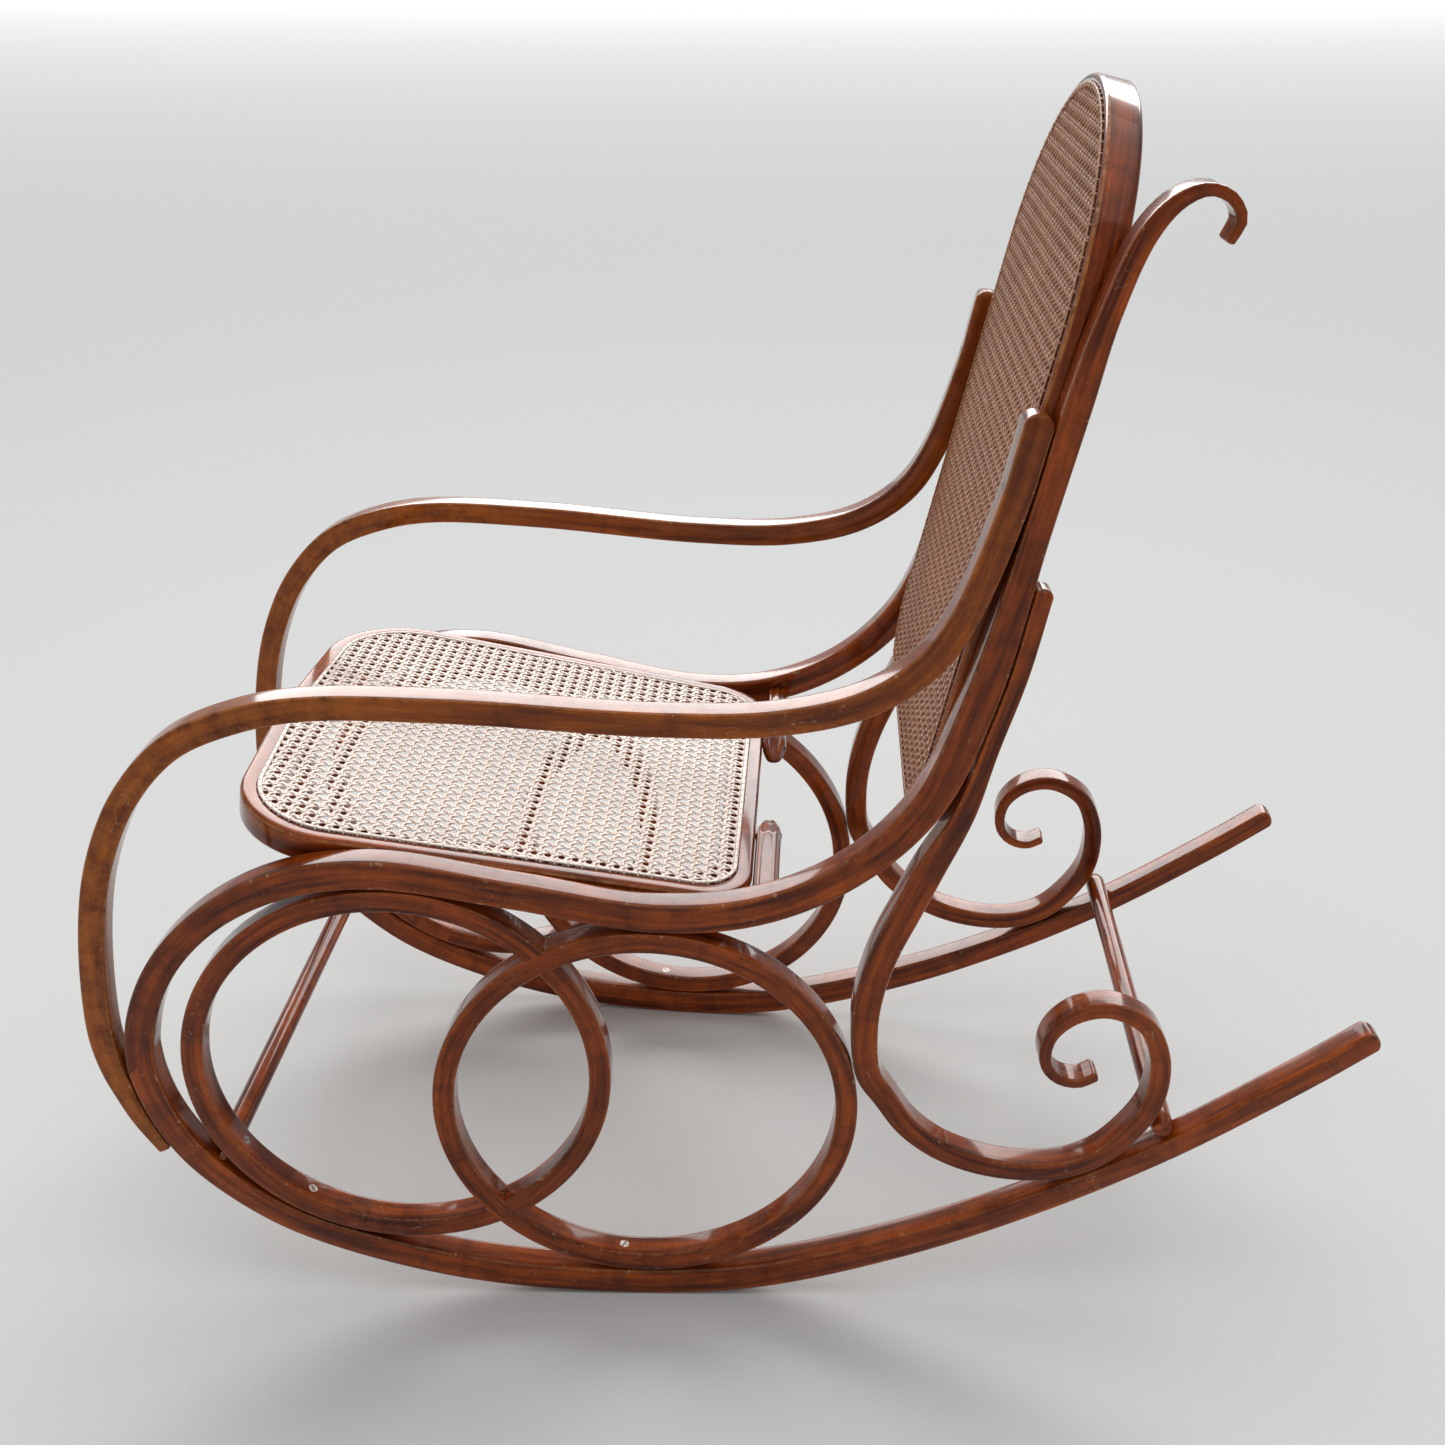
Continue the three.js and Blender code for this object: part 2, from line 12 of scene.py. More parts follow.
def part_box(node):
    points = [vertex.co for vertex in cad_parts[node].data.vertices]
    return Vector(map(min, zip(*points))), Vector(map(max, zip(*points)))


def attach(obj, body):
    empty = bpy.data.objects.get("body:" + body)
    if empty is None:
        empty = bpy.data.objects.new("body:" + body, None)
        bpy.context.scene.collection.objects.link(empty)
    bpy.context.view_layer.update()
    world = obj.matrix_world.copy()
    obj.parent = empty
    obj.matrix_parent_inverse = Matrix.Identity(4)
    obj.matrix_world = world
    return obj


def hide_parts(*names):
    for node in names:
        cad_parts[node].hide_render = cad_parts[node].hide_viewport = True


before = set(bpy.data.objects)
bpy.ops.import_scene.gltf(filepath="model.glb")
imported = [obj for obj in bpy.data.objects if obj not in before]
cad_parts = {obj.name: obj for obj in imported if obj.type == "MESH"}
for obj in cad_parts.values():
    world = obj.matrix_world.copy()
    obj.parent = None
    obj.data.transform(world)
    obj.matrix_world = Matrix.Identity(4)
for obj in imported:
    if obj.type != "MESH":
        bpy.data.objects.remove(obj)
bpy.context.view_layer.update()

bl_info = {
    "name": "Bentwood Rocker",
    "version": (1, 0, 0),
    "blender": (4, 5, 0),
    "location": "View3D > Sidebar > Rocker",
    "description": "Builds the woodwork, caning, screws and studio of a bentwood rocking chair",
    "category": "Object",
}

MM = 0.001

# The side frames, in millimetres
SPACING = 462
TOE = math.radians(2.5)
STOCK = 26
EDGE = 3.5  # rounding along the members' edges
RAIL = 453
POST_TOP = 1074
TOUCH = 1.3
FIT = 0.3
RING_DEPTH = 21
RING_BEARING = math.radians(12)
REAR_RING_Y = -61
ARM_TOP = 657
SCROLL_Y = 360
SCARF = 14
SEAM = 0.05  # half the gap in the scarf
HOOP_ASIDE = 0.2  # how far each hoop stands to its side of the frame's middle

# The seat and the back
SEAT_TILT = math.radians(9.3)
SEAT_FRONT = -447
SEAT_REAR = 38
SEAT_THICK = 28
SEAT_RIM = 34
SEAT_CROWN = 12
BACK_LEAN = math.radians(12.6)
BACK_FOOT = (174, 523)
BACK_LENGTH = 624
BACK_THICK = 30
BACK_RIM = 18
BACK_ARCH = 180

SIDES = ("left", "right")


# ---- settings ----


class WoodSettings(bpy.types.PropertyGroup):
    """Colours and shape of the bent and sawn wood"""

    stain: FloatVectorProperty(name="Stain", description="Colour of the frames' stained wood",
                               subtype="COLOR", default=(0.085, 0.011, 0.0018), min=0, max=1)
    stain_light: FloatVectorProperty(name="Light Stain", description="Colour where the stain is thin",
                                     subtype="COLOR", default=(0.430, 0.078, 0.006), min=0, max=1)
    arm: FloatVectorProperty(name="Arm", description="Colour of the arms' wood",
                             subtype="COLOR", default=(0.120, 0.020, 0.0025), min=0, max=1)
    arm_light: FloatVectorProperty(name="Light Arm", description="Colour of the arms where they are rubbed",
                                   subtype="COLOR", default=(0.400, 0.092, 0.007), min=0, max=1)
    squareness: FloatProperty(name="Squareness", description="The members' section: 0 square, 1 round",
                              default=0.2, min=0.1, max=1)
    sides: IntProperty(name="Sides", description="Points around a member's section",
                       default=40, min=8, max=64)
    step: FloatProperty(name="Step", description="Distance between sections along a member",
                        subtype="DISTANCE", unit="LENGTH", default=0.007, min=0.003, max=0.03)


class CaneSettings(bpy.types.PropertyGroup):
    """Sizes and colours of the six-way caning"""

    pitch: FloatProperty(name="Pitch", description="Distance between pairs of strands",
                         subtype="DISTANCE", unit="LENGTH", default=0.0127, min=0.008, max=0.02)
    pair: FloatProperty(name="Pair", description="Distance between the two strands of a pair",
                        subtype="DISTANCE", unit="LENGTH", default=0.0037, min=0.001, max=0.006)
    width: FloatProperty(name="Width", description="Width of a strand",
                         subtype="DISTANCE", unit="LENGTH", default=0.0034, min=0.001, max=0.005)
    thickness: FloatProperty(name="Thickness", description="Thickness of a strand",
                             subtype="DISTANCE", unit="LENGTH", default=0.0011, min=0.0005, max=0.003)
    seat: FloatVectorProperty(name="Seat", description="Colour of the seat's cane",
                              subtype="COLOR", default=(0.80, 0.62, 0.52), min=0, max=1)
    back: FloatVectorProperty(name="Back", description="Colour of the back's cane",
                              subtype="COLOR", default=(0.36, 0.145, 0.058), min=0, max=1)


class StudioSettings(bpy.types.PropertyGroup):
    """Floor, lights and camera"""

    floor: FloatVectorProperty(name="Floor", description="Colour of the floor",
                               subtype="COLOR", default=(0.74, 0.74, 0.72), min=0, max=1)
    overhead: FloatProperty(name="Overhead", description="Power of the large light overhead",
                            default=52, min=0, max=1000)
    lens: FloatProperty(name="Lens", description="Focal length of the camera in millimetres",
                        default=40.375, min=10)


# ---- node trees ----


class Field:
    """A node's output, with arithmetic that adds Math nodes."""

    def __init__(self, net, socket):
        self.net = net
        self.socket = socket

    def math(self, operation, *others):
        return self.net.node("ShaderNodeMath", {"operation": operation}, dict(enumerate((self, *others))))

    def __add__(self, other):
        return self.math("ADD", other)

    __radd__ = __add__

    def __mul__(self, other):
        return self.math("MULTIPLY", other)

    __rmul__ = __mul__

    def __sub__(self, other):
        return self.math("SUBTRACT", other)

    def __rsub__(self, other):
        return self * -1 + other

    def __truediv__(self, other):
        return self.math("DIVIDE", other)

    def __rtruediv__(self, other):
        return self ** -1 * other

    def __pow__(self, other):
        return self.math("POWER", other)

    def __abs__(self):
        return self.math("ABSOLUTE")

    def clamped(self):
        return self.math("MAXIMUM", 0.0).math("MINIMUM", 1.0)


class Net:
    """A node tree that is added to one node at a time."""

    def __init__(self, tree):
        self.tree = tree
        tree.nodes.clear()

    def node(self, kind, settings=None, inputs=None, output=0):
        made = self.tree.nodes.new(kind)
        for key, value in (settings or {}).items():
            setattr(made, key, value)
        for key, value in (inputs or {}).items():
            socket = made.inputs[key]
            if isinstance(value, Field):
                self.tree.links.new(value.socket, socket)
            else:
                socket.default_value = value
        if not made.outputs:
            return made
        return Field(self, made.outputs[output])

    def vector(self, operation, a, b=None, scale=None):
        inputs = {0: a}
        if b is not None:
            inputs[1] = b
        if scale is not None:
            inputs["Scale"] = scale
        output = 1 if operation in ("DOT_PRODUCT", "LENGTH") else 0
        return self.node("ShaderNodeVectorMath", {"operation": operation}, inputs, output)


def shape_tree(name, inputs):
    """A geometry tree with the given named inputs, and the fields that they give."""
    tree = bpy.data.node_groups.new(name, "GeometryNodeTree")
    tree.interface.new_socket("Geometry", in_out="INPUT", socket_type="NodeSocketGeometry")
    for label, kind, default in inputs:
        socket = tree.interface.new_socket(label, in_out="INPUT", socket_type=kind)
        if default is not None:
            socket.default_value = default
    tree.interface.new_socket("Geometry", in_out="OUTPUT", socket_type="NodeSocketGeometry")
    net = Net(tree)
    source = tree.nodes.new("NodeGroupInput")
    fields = {item.name: Field(net, item) for item in source.outputs if item.name}
    return net, fields


def finish_tree(net, geometry, material):
    """Realizes, shades smooth, gives the material and ends the tree."""
    real = net.node("GeometryNodeRealizeInstances", None, {0: geometry})
    smooth = net.node("GeometryNodeSetShadeSmooth", None, {0: real})
    painted = net.node("GeometryNodeSetMaterial", None, {"Geometry": smooth, "Material": material})
    net.node("NodeGroupOutput", None, {0: painted})


def named(net, name, kind="FLOAT"):
    return net.node("GeometryNodeInputNamedAttribute", {"data_type": kind}, {"Name": name})


def stored(net, geometry, name, value, kind="FLOAT_VECTOR"):
    """The geometry with a value kept on its points."""
    return net.node("GeometryNodeStoreNamedAttribute", {"data_type": kind},
                    {"Geometry": geometry, "Name": name, "Value": value})


def in_scene(name, data):
    """An object of the scene that holds the data."""
    made = bpy.data.objects.new(name, data)
    bpy.context.scene.collection.objects.link(made)
    return made


def grow(name, mesh, tree, values):
    """The plain mesh object that a geometry tree makes of a mesh."""
    seed = in_scene(name + "_seed", mesh)
    modifier = seed.modifiers.new("Shape", "NODES")
    modifier.node_group = tree
    for item in tree.interface.items_tree:
        if item.in_out == "INPUT" and item.name in values:
            modifier[item.identifier] = values[item.name]
    depsgraph = bpy.context.evaluated_depsgraph_get()
    made = bpy.data.meshes.new_from_object(seed.evaluated_get(depsgraph))
    bpy.data.objects.remove(seed)
    made.name = name
    return in_scene(name, made)


def valued_mesh(name, points, edges, faces, **attributes):
    """A mesh with values on its points."""
    mesh = bpy.data.meshes.new(name)
    mesh.from_pydata(points, edges, faces)
    for key, values in attributes.items():
        values = np.asarray(values, dtype=float)
        kind, field = ("FLOAT_VECTOR", "vector") if values.ndim == 2 else ("FLOAT", "value")
        mesh.attributes.new(key, kind, "POINT").data.foreach_set(field, values.ravel())
    return mesh


def seed_mesh(name, points, loops=False, **attributes):
    """A polyline, or several, with values on its points."""
    runs = points if loops else [points]
    edges = []
    start = 0
    for run in runs:
        edges += [(start + i, start + i + 1) for i in range(len(run) - 1)]
        start += len(run)
    return valued_mesh(name, [tuple(p) for run in runs for p in run], edges, [], **attributes)


def sawn(name, points, faces, material, **attributes):
    """A smooth piece of sawn wood with its faces pointing out."""
    mesh = valued_mesh(name, points, [], faces, **attributes)
    mesh.materials.append(material)
    mesh.shade_smooth()
    work = bmesh.new()
    work.from_mesh(mesh)
    bmesh.ops.recalc_face_normals(work, faces=work.faces)
    work.to_mesh(mesh)
    work.free()
    return in_scene(name, mesh)


# ---- paths in a side frame's plane: y, z and depth in millimetres ----


def smooth(points, step):
    """A centripetal curve through the points, at even steps."""
    p = np.array(points, dtype=float)
    p = np.vstack([2 * p[0] - p[1], p, 2 * p[-1] - p[-2]])
    dense = []
    for i in range(1, len(p) - 2):
        x0, x1, x2, x3 = p[i - 1], p[i], p[i + 1], p[i + 2]
        d0, d1, d2 = (np.sum((b - a) ** 2) ** 0.25 for a, b in ((x0, x1), (x1, x2), (x2, x3)))
        t1 = d1 * ((x1 - x0) / d0 - (x2 - x0) / (d0 + d1) + (x2 - x1) / d1)
        t2 = d1 * ((x2 - x1) / d1 - (x3 - x1) / (d1 + d2) + (x3 - x2) / d2)
        for u in np.linspace(0, 1, 40, endpoint=False):
            bend = u * u * (3 * (x2 - x1) - 2 * t1 - t2)
            dense.append(x1 + u * t1 + bend + u ** 3 * (2 * (x1 - x2) + t1 + t2))
    return spaced(np.vstack([dense, p[-2]]), step)


def spaced(dense, step):
    far = lengths(dense)
    places = np.linspace(0, far[-1], max(2, round(far[-1] / step) + 1))
    return np.column_stack([np.interp(places, far, dense[:, k]) for k in range(3)])


def lengths(path):
    return np.concatenate([[0], np.cumsum(np.hypot(np.diff(path[:, 0]), np.diff(path[:, 1])))])


def lefts(path):
    along = np.gradient(path[:, :2], axis=0)
    along /= np.linalg.norm(along, axis=1)[:, None]
    return np.column_stack([-along[:, 1], along[:, 0]])


def alongside(path, start, heights, side, depth, apart=0):
    """Points of a path that runs alongside another, on its left (1) or right (-1)."""
    found = []
    left = lefts(path)
    count = len(heights)
    for z, own, away in zip(heights, np.broadcast_to(depth, count), np.broadcast_to(apart, count)):
        i = next(i for i in range(start, len(path) - 1) if (path[i, 1] - z) * (path[i + 1, 1] - z) <= 0)
        reach = side * (path[i, 2] / 2 + own / 2 + TOUCH + away)
        found.append([path[i, 0] + reach * left[i, 0], path[i, 1] + reach * left[i, 1], own])
    return found


def runner_path(step):
    """The rocker, front loop, seat rail, back post and top scroll."""
    rocker = [(610, 319, 21), (556, 276, 22), (438, 191, 23), (310, 119, 26), (175, 61, 29), (33, 22, 31),
              (-111, 17, 31), (-255, 35.5, 31), (-390, 82, 28)]
    loop = [(-450, 0.27, 27), (-499, 0.39, 27), (-527, 0.535, 27), (-531, 0.68, 28), (-503, 0.85, 27),
            (-449, 0.985, 27)]
    rail = [(-378, 31, 29), (-297, 42, 29), (-173, 21, 27), (-44, -2, 29), (46, 7, 29), (126, 46, 28),
            (188, 112, 30), (226, 209, 30)]
    post = [(262, -259, 22), (284, -159, 22), (301, -89, 18), (322, -32, 16), (342, -8, 13), (362, 0, 10),
            (379, -6, 9), (388, -21, 8), (382, -36, 6.5)]
    points = rocker + [(y, share * RAIL, d) for y, share, d in loop]
    points += [(y, RAIL + rise, d) for y, rise, d in rail] + [(y, POST_TOP + rise, d) for y, rise, d in post]
    path = smooth(points, step)
    path[:, 1] -= np.min(path[:, 1] - path[:, 2] / 2)
    return path


def hoops():
    """Middle (y, z) of the front and rear hoops in their plane, and their outer radius."""
    places = {}
    for name in ("front", "rear"):
        low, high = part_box(f"left_{name}_ring")
        places[name] = ((low[1] + high[1]) / 2 / MM, (low[2] + high[2]) / 2 / MM)
    low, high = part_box("left_rear_ring")
    radius = ((high[1] - low[1]) / 2 / MM - (STOCK / 2 - EDGE) * math.sin(TOE)) / math.cos(TOE)
    shift = places["rear"][0] - REAR_RING_Y * math.cos(TOE)
    middles = {name: ((y - shift) / math.cos(TOE), z) for name, (y, z) in places.items()}
    return middles, radius, shift


HOOPS, HOOP_RADIUS, SHIFT = hoops()
PLANE = Matrix.Translation((SPACING / 2 * MM, SHIFT * MM, 0)) @ Matrix.Rotation(TOE, 4, "Z")


def brace_path(runner, start, step):
    """Up behind the post, down past the rear hoop, round onto the rocker and into its scroll."""
    behind = alongside(runner, start, (770, 700, 630), -1, 15)
    down = [(221, 106, 19), (195, 50, 26), (176, 5, 27), (159, -37, 27), (148, -79, 26), (144, -120, 25)]
    reach = HOOP_RADIUS + TOUCH + 12
    beside = (HOOPS["rear"][0] + reach * math.cos(RING_BEARING),
              HOOPS["rear"][1] + reach * math.sin(RING_BEARING), 24)
    scroll = [(-194, -36, 23), (-171, -71, 22), (-140, -98, 21), (-101, -116, 21), (-59, -124, 20),
              (-19, -121, 20), (12, -107, 20), (38, -79, 20), (56, -46, 20), (61, -12, 20), (57, 20, 19),
              (42, 50, 17), (8, 67, 16), (-22, 61, 15), (-42, 42, 13), (-48, 22, 12), (-45, 2, 11),
              (-32, -12, 10), (-14, -16, 9), (0, -9, 9)]
    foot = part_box("left_scroll_brace")[0][2] / MM
    height = foot + 124 + 10
    points = behind + [(y, RAIL + rise, d) for y, rise, d in down] + [beside]
    points += [(SCROLL_Y + y, height + z, d) for y, z, d in scroll]
    return smooth(points, step)


def arm_path(runner, front, start, step):
    """A foot that thins out down the loop, over and back, and up against the front of the post."""
    heights, depths, apart = (199.5, 226.5, 255, 287, 320), (12, 16, 19.5, 22.5, 24), (0, 0, 0, 2.5, 9)
    foot = alongside(runner, front // 2, heights, 1, depths, apart)
    rest = [(-554, -226, 24), (-534, -151, 24), (-501, -86, 24), (-455, -37, 24), (-400, -12, 24),
            (-340, 0, 23), (-219, -1, 23), (-39, -13, 23), (60, -11, 24), (133, 7, 25), (182, 41, 25),
            (210, 85, 24)]
    shoulder = alongside(runner, start, (843, 870, 896), 1, 24)
    return smooth(foot + [(y, ARM_TOP + rise, d) for y, rise, d in rest] + shoulder, step)


# ---- bent members ----

NOSE = 8  # sections in the round end of a member


def member_tree():
    """Sweeps a rounded section along a path whose points hold their own sizes and directions."""
    net, given = shape_tree("Bent Member", [
        ("Sides", "NodeSocketInt", 32), ("Squareness", "NodeSocketFloat", 0.42),
        ("Grain Start", "NodeSocketVector", None), ("Material", "NodeSocketMaterial", None)])
    place = net.node("GeometryNodeInputPosition")
    kept = stored(net, given["Geometry"], "middle", place)
    curve = net.node("GeometryNodeMeshToCurve", None, {0: kept})
    round_section = net.node("GeometryNodeCurvePrimitiveCircle", None,
                             {"Resolution": given["Sides"], "Radius": 1.0})
    tube = net.node("GeometryNodeCurveToMesh", None,
                    {"Curve": curve, "Profile Curve": round_section, "Fill Caps": True})
    middle = named(net, "middle", "FLOAT_VECTOR")
    left = named(net, "left", "FLOAT_VECTOR")
    side = named(net, "side", "FLOAT_VECTOR")
    arm = net.vector("SUBTRACT", place, middle)
    across = rounded_power(net.vector("DOT_PRODUCT", arm, left), given["Squareness"])
    outward = rounded_power(net.vector("DOT_PRODUCT", arm, side), given["Squareness"])
    half_depth = across * named(net, "half_depth")
    half_stock = outward * named(net, "half_stock")
    moved = net.vector("ADD", middle, net.vector("SCALE", left, scale=half_depth))
    moved = net.vector("ADD", moved, net.vector("SCALE", side, scale=half_stock))
    ahead = net.vector("CROSS_PRODUCT", side, left)
    moved = net.vector("ADD", moved, net.vector("SCALE", ahead, scale=across * named(net, "scarf")))
    grain = net.node("ShaderNodeCombineXYZ", None, {0: named(net, "run"), 1: half_depth, 2: half_stock})
    grained = stored(net, tube, "grain", net.vector("ADD", grain, given["Grain Start"]))
    # Marks the arrises, which the wood's finish paints pale: edge wear and chips, and a painted edge
    # highlight.
    edged = stored(net, grained, "corner", abs(across * outward), "FLOAT")
    shaped = net.node("GeometryNodeSetPosition", None, {"Geometry": edged, "Position": moved})
    for spent in ("middle", "left", "side", "half_depth", "half_stock", "scarf", "run"):
        shaped = net.node("GeometryNodeRemoveAttribute", None, {"Geometry": shaped, "Name": spent})
    finish_tree(net, shaped, given["Material"])
    return net.tree


def rounded_power(value, power):
    return abs(value) ** power * value.math("SIGN")


def with_noses(path, first, last):
    """The path with both ends drawn out and thinned to round noses, and each station's stock."""
    stock = np.full(len(path), float(STOCK))
    blunt = np.sin(np.linspace(0, 1, NOSE + 1)[1:] * math.pi / 2)
    for end, wanted in ((-1, last), (0, first)):
        if not wanted:
            continue
        tip = path[end]
        ahead = path[end, :2] - path[end + (1 if end == 0 else -1), :2]
        ahead /= np.linalg.norm(ahead)
        reach = 0.8 * tip[2] / 2
        thin = np.sqrt(np.clip(1 - blunt ** 2, 0.0004, 1))
        nose = np.column_stack([tip[:2] + ahead * (reach * blunt)[:, None], tip[2] * thin])
        nose_stock = STOCK * (0.45 + 0.55 * thin)
        nose_stock[-1] = 1
        if end == 0:
            path, stock = np.vstack([nose[::-1], path]), np.concatenate([nose_stock[::-1], stock])
        else:
            path, stock = np.vstack([path, nose]), np.concatenate([stock, nose_stock])
    return path, stock


def bend(name, path, tree, material, squareness, first=True, last=True, scarf=(0, 0), offset=0.0, seed=0.0):
    """One bent member on the left side frame, from its path in the frame's plane."""
    wood = bpy.context.scene.rocker_wood
    length = lengths(path)
    slant = np.zeros(len(path))
    if scarf[0]:
        slant += scarf[0] * np.clip(1 - length / (2.5 * SCARF), 0, 1)
    if scarf[1]:
        slant += scarf[1] * np.clip(1 - (length[-1] - length) / (2.5 * SCARF), 0, 1)
    path, stock = with_noses(path, first, last)
    slant = np.pad(slant, (NOSE * first, NOSE * last))
    left = lefts(path)
    turn = PLANE.to_3x3()
    centre = [PLANE @ Vector((offset * MM, y * MM, z * MM)) for y, z, _ in path]
    mesh = seed_mesh(name, centre, half_depth=path[:, 2] / 2 * MM, half_stock=stock / 2 * MM,
                     left=[turn @ Vector((0, y, z)) for y, z in left],
                     side=[turn @ Vector((1, 0, 0))] * len(path),
                     scarf=slant * MM, run=lengths(path) * MM)
    return grow(name, mesh, tree, {"Sides": wood.sides, "Squareness": squareness,
                                   "Grain Start": (seed, seed * 0.37, seed * 0.61), "Material": material})


def mirrored(piece, name, seed):
    """The right-hand copy of a left-hand piece, cut from another stretch of wood."""
    mesh = piece.data.copy()
    mesh.name = name
    places = np.empty(len(mesh.vertices) * 3)
    mesh.vertices.foreach_get("co", places)
    places[0::3] *= -1
    mesh.vertices.foreach_set("co", places)
    mesh.flip_normals()
    layer = mesh.attributes.get("grain")
    if layer:
        grain = np.empty(len(mesh.vertices) * 3)
        layer.data.foreach_get("vector", grain)
        layer.data.foreach_set("vector", grain + seed)
    return in_scene(name, mesh)


def settle(piece, nodes):
    """Makes a finished piece part of the chair in place of CAD nodes."""
    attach(piece, "root")
    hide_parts(*nodes)


class ROCKER_OT_bent_members(bpy.types.Operator):
    """Build the rockers, rails and posts, arms, braces and hoops"""

    bl_idname = "rocker.bent_members"
    bl_label = "Bent Members"

    def execute(self, context):
        wood = context.scene.rocker_wood
        step = wood.step / MM
        tree = member_tree()
        stained = stained_wood("Stained bent beech", wood.stain, wood.stain_light, 1.0)
        # The arms' wood turns golden towards the front: rub wear and a painted highlight.
        rubbed_and_highlit = stained_wood("Rubbed and highlit arm beech", wood.arm, wood.arm_light, 1.35, -0.22)
        runner = runner_path(step)
        front = int(np.argmin(runner[:, 0]))
        top = next(i for i in range(front, len(runner)) if runner[i, 1] > RAIL + 20)
        brace = brace_path(runner, top, step)
        arm = arm_path(runner, front, top, step)
        closed = dict(first=False, last=False)
        rocker = runner[:front + 1].copy()
        rail = runner[front:].copy()
        rocker[-1, 1] -= SEAM
        rail[0, 1] += SEAM
        made = [
            ("rocker", rocker, stained, dict(last=False, scarf=(0, SCARF)), "bent_wood", 1.0),
            ("rail_and_post", rail, stained, dict(first=False, scarf=(SCARF, 0)), "bent_wood", 5.0),
            ("arm", arm, rubbed_and_highlit, {}, "arm_wood", 9.0),
            ("scroll_brace", brace, stained, {}, "bent_wood", 14.0),
            ("front_ring", self.hoop("front", step, 250), stained,
             dict(closed, offset=-HOOP_ASIDE), "bent_wood", 19.0),
            ("rear_ring", self.hoop("rear", step, 300), stained,
             dict(closed, offset=HOOP_ASIDE), "bent_wood", 23.0),
        ]
        for name, path, material, ends, slot, seed in made:
            piece = bend(f"left_{name}_wood", path, tree, material, wood.squareness, seed=seed, **ends)
            other = mirrored(piece, f"right_{name}_wood", seed + 31.7)
            settle(piece, [f"left_{name}"])
            settle(other, [f"right_{name}"])
        return {"FINISHED"}

    def hoop(self, which, step, start):
        """A hoop's path, from its glued joint right round and back to it."""
        radius = HOOP_RADIUS - RING_DEPTH / 2
        count = round(2 * math.pi * radius / step)
        turns = np.radians(start) + np.linspace(0, 2 * math.pi, count + 1)
        y, z = HOOPS[which]
        depth = np.full(count + 1, RING_DEPTH)
        return np.column_stack([y + radius * np.cos(turns), z + radius * np.sin(turns), depth])


# ---- panels: frames with round corners, and the cane across them ----


def half_room(y):
    """Half the room between the side frames at a given y."""
    return SPACING / 2 - STOCK / 2 / math.cos(TOE) - y * math.tan(TOE)


def rounded(corners, arc=24, straight=24):
    """A closed outline with each corner rounded by its own radius, with the same points at every inset."""
    arcs = []
    for i, (x, y, radius) in enumerate(corners):
        here = np.array([x, y])
        back = np.array(corners[i - 1][:2]) - here
        ahead = np.array(corners[(i + 1) % len(corners)][:2]) - here
        back, ahead = back / np.linalg.norm(back), ahead / np.linalg.norm(ahead)
        half = math.acos(float(back @ ahead)) / 2
        inward = (back + ahead) / np.linalg.norm(back + ahead)
        middle = here + inward * radius / math.sin(half)
        start = math.atan2(-back[0], back[1]) + math.pi
        turns = start + np.linspace(0, math.pi - 2 * half, arc)
        arcs.append(middle + radius * np.column_stack([np.cos(turns), np.sin(turns)]))
    parts = []
    for i, points in enumerate(arcs):
        following = arcs[(i + 1) % len(arcs)][0]
        share = np.linspace(0, 1, straight + 1)[1:-1, None]
        parts += [points, points[-1] * (1 - share) + following * share]
    return np.vstack(parts)


SEAT_LENGTH = (SEAT_REAR - SEAT_FRONT) / math.cos(SEAT_TILT)


def seat_outline(inset):
    wide = lambda y: half_room(SEAT_FRONT + y * math.cos(SEAT_TILT)) - FIT - inset
    crown = 1.5 * (half_room(SEAT_FRONT) + half_room(SEAT_REAR))
    return rounded([
        (0, inset, crown),
        (wide(SEAT_CROWN), SEAT_CROWN + inset, 95 - inset),
        (wide(SEAT_LENGTH), SEAT_LENGTH - inset, 48 - inset / 2),
        (-wide(SEAT_LENGTH), SEAT_LENGTH - inset, 48 - inset / 2),
        (-wide(SEAT_CROWN), SEAT_CROWN + inset, 95 - inset)])


def back_outline(inset):
    rear = BACK_FOOT[0] + BACK_THICK * math.cos(BACK_LEAN)
    wide = lambda t: half_room(rear + t * math.sin(BACK_LEAN)) - FIT - inset
    spring = BACK_LENGTH - BACK_ARCH
    radius = 70 - inset / 2
    turn = np.linspace(-math.pi / 2, 0, 18)
    foot = np.column_stack([wide(radius) - radius + radius * np.cos(turn),
                            radius + inset + radius * np.sin(turn)])
    arch = np.linspace(0, math.pi, 97)
    head = np.column_stack([wide(spring) * np.cos(arch), spring + (BACK_ARCH - inset) * np.sin(arch)])
    share = np.linspace(0, 1, 25)[1:-1, None]
    side = foot[-1] * (1 - share) + head[0] * share
    half = np.vstack([foot, side, head[:49]])
    other = half[::-1][1:] * [-1, 1]
    across = np.linspace(0, 1, 24)[1:-1, None]
    return np.vstack([half, other, other[-1] * (1 - across) + half[0] * across])


SEAT_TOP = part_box("seat_frame")[1][2] + 3.5 * MM * math.sin(SEAT_TILT)
SEAT_PLACE = (Matrix.Translation((0, (SEAT_FRONT + SHIFT) * MM, SEAT_TOP))
              @ Matrix.Rotation(-SEAT_TILT, 4, "X"))
BACK_PLACE = (Matrix.Translation((0, (BACK_FOOT[0] + SHIFT) * MM, BACK_FOOT[1] * MM))
              @ Matrix.Rotation(math.pi / 2 - BACK_LEAN, 4, "X"))


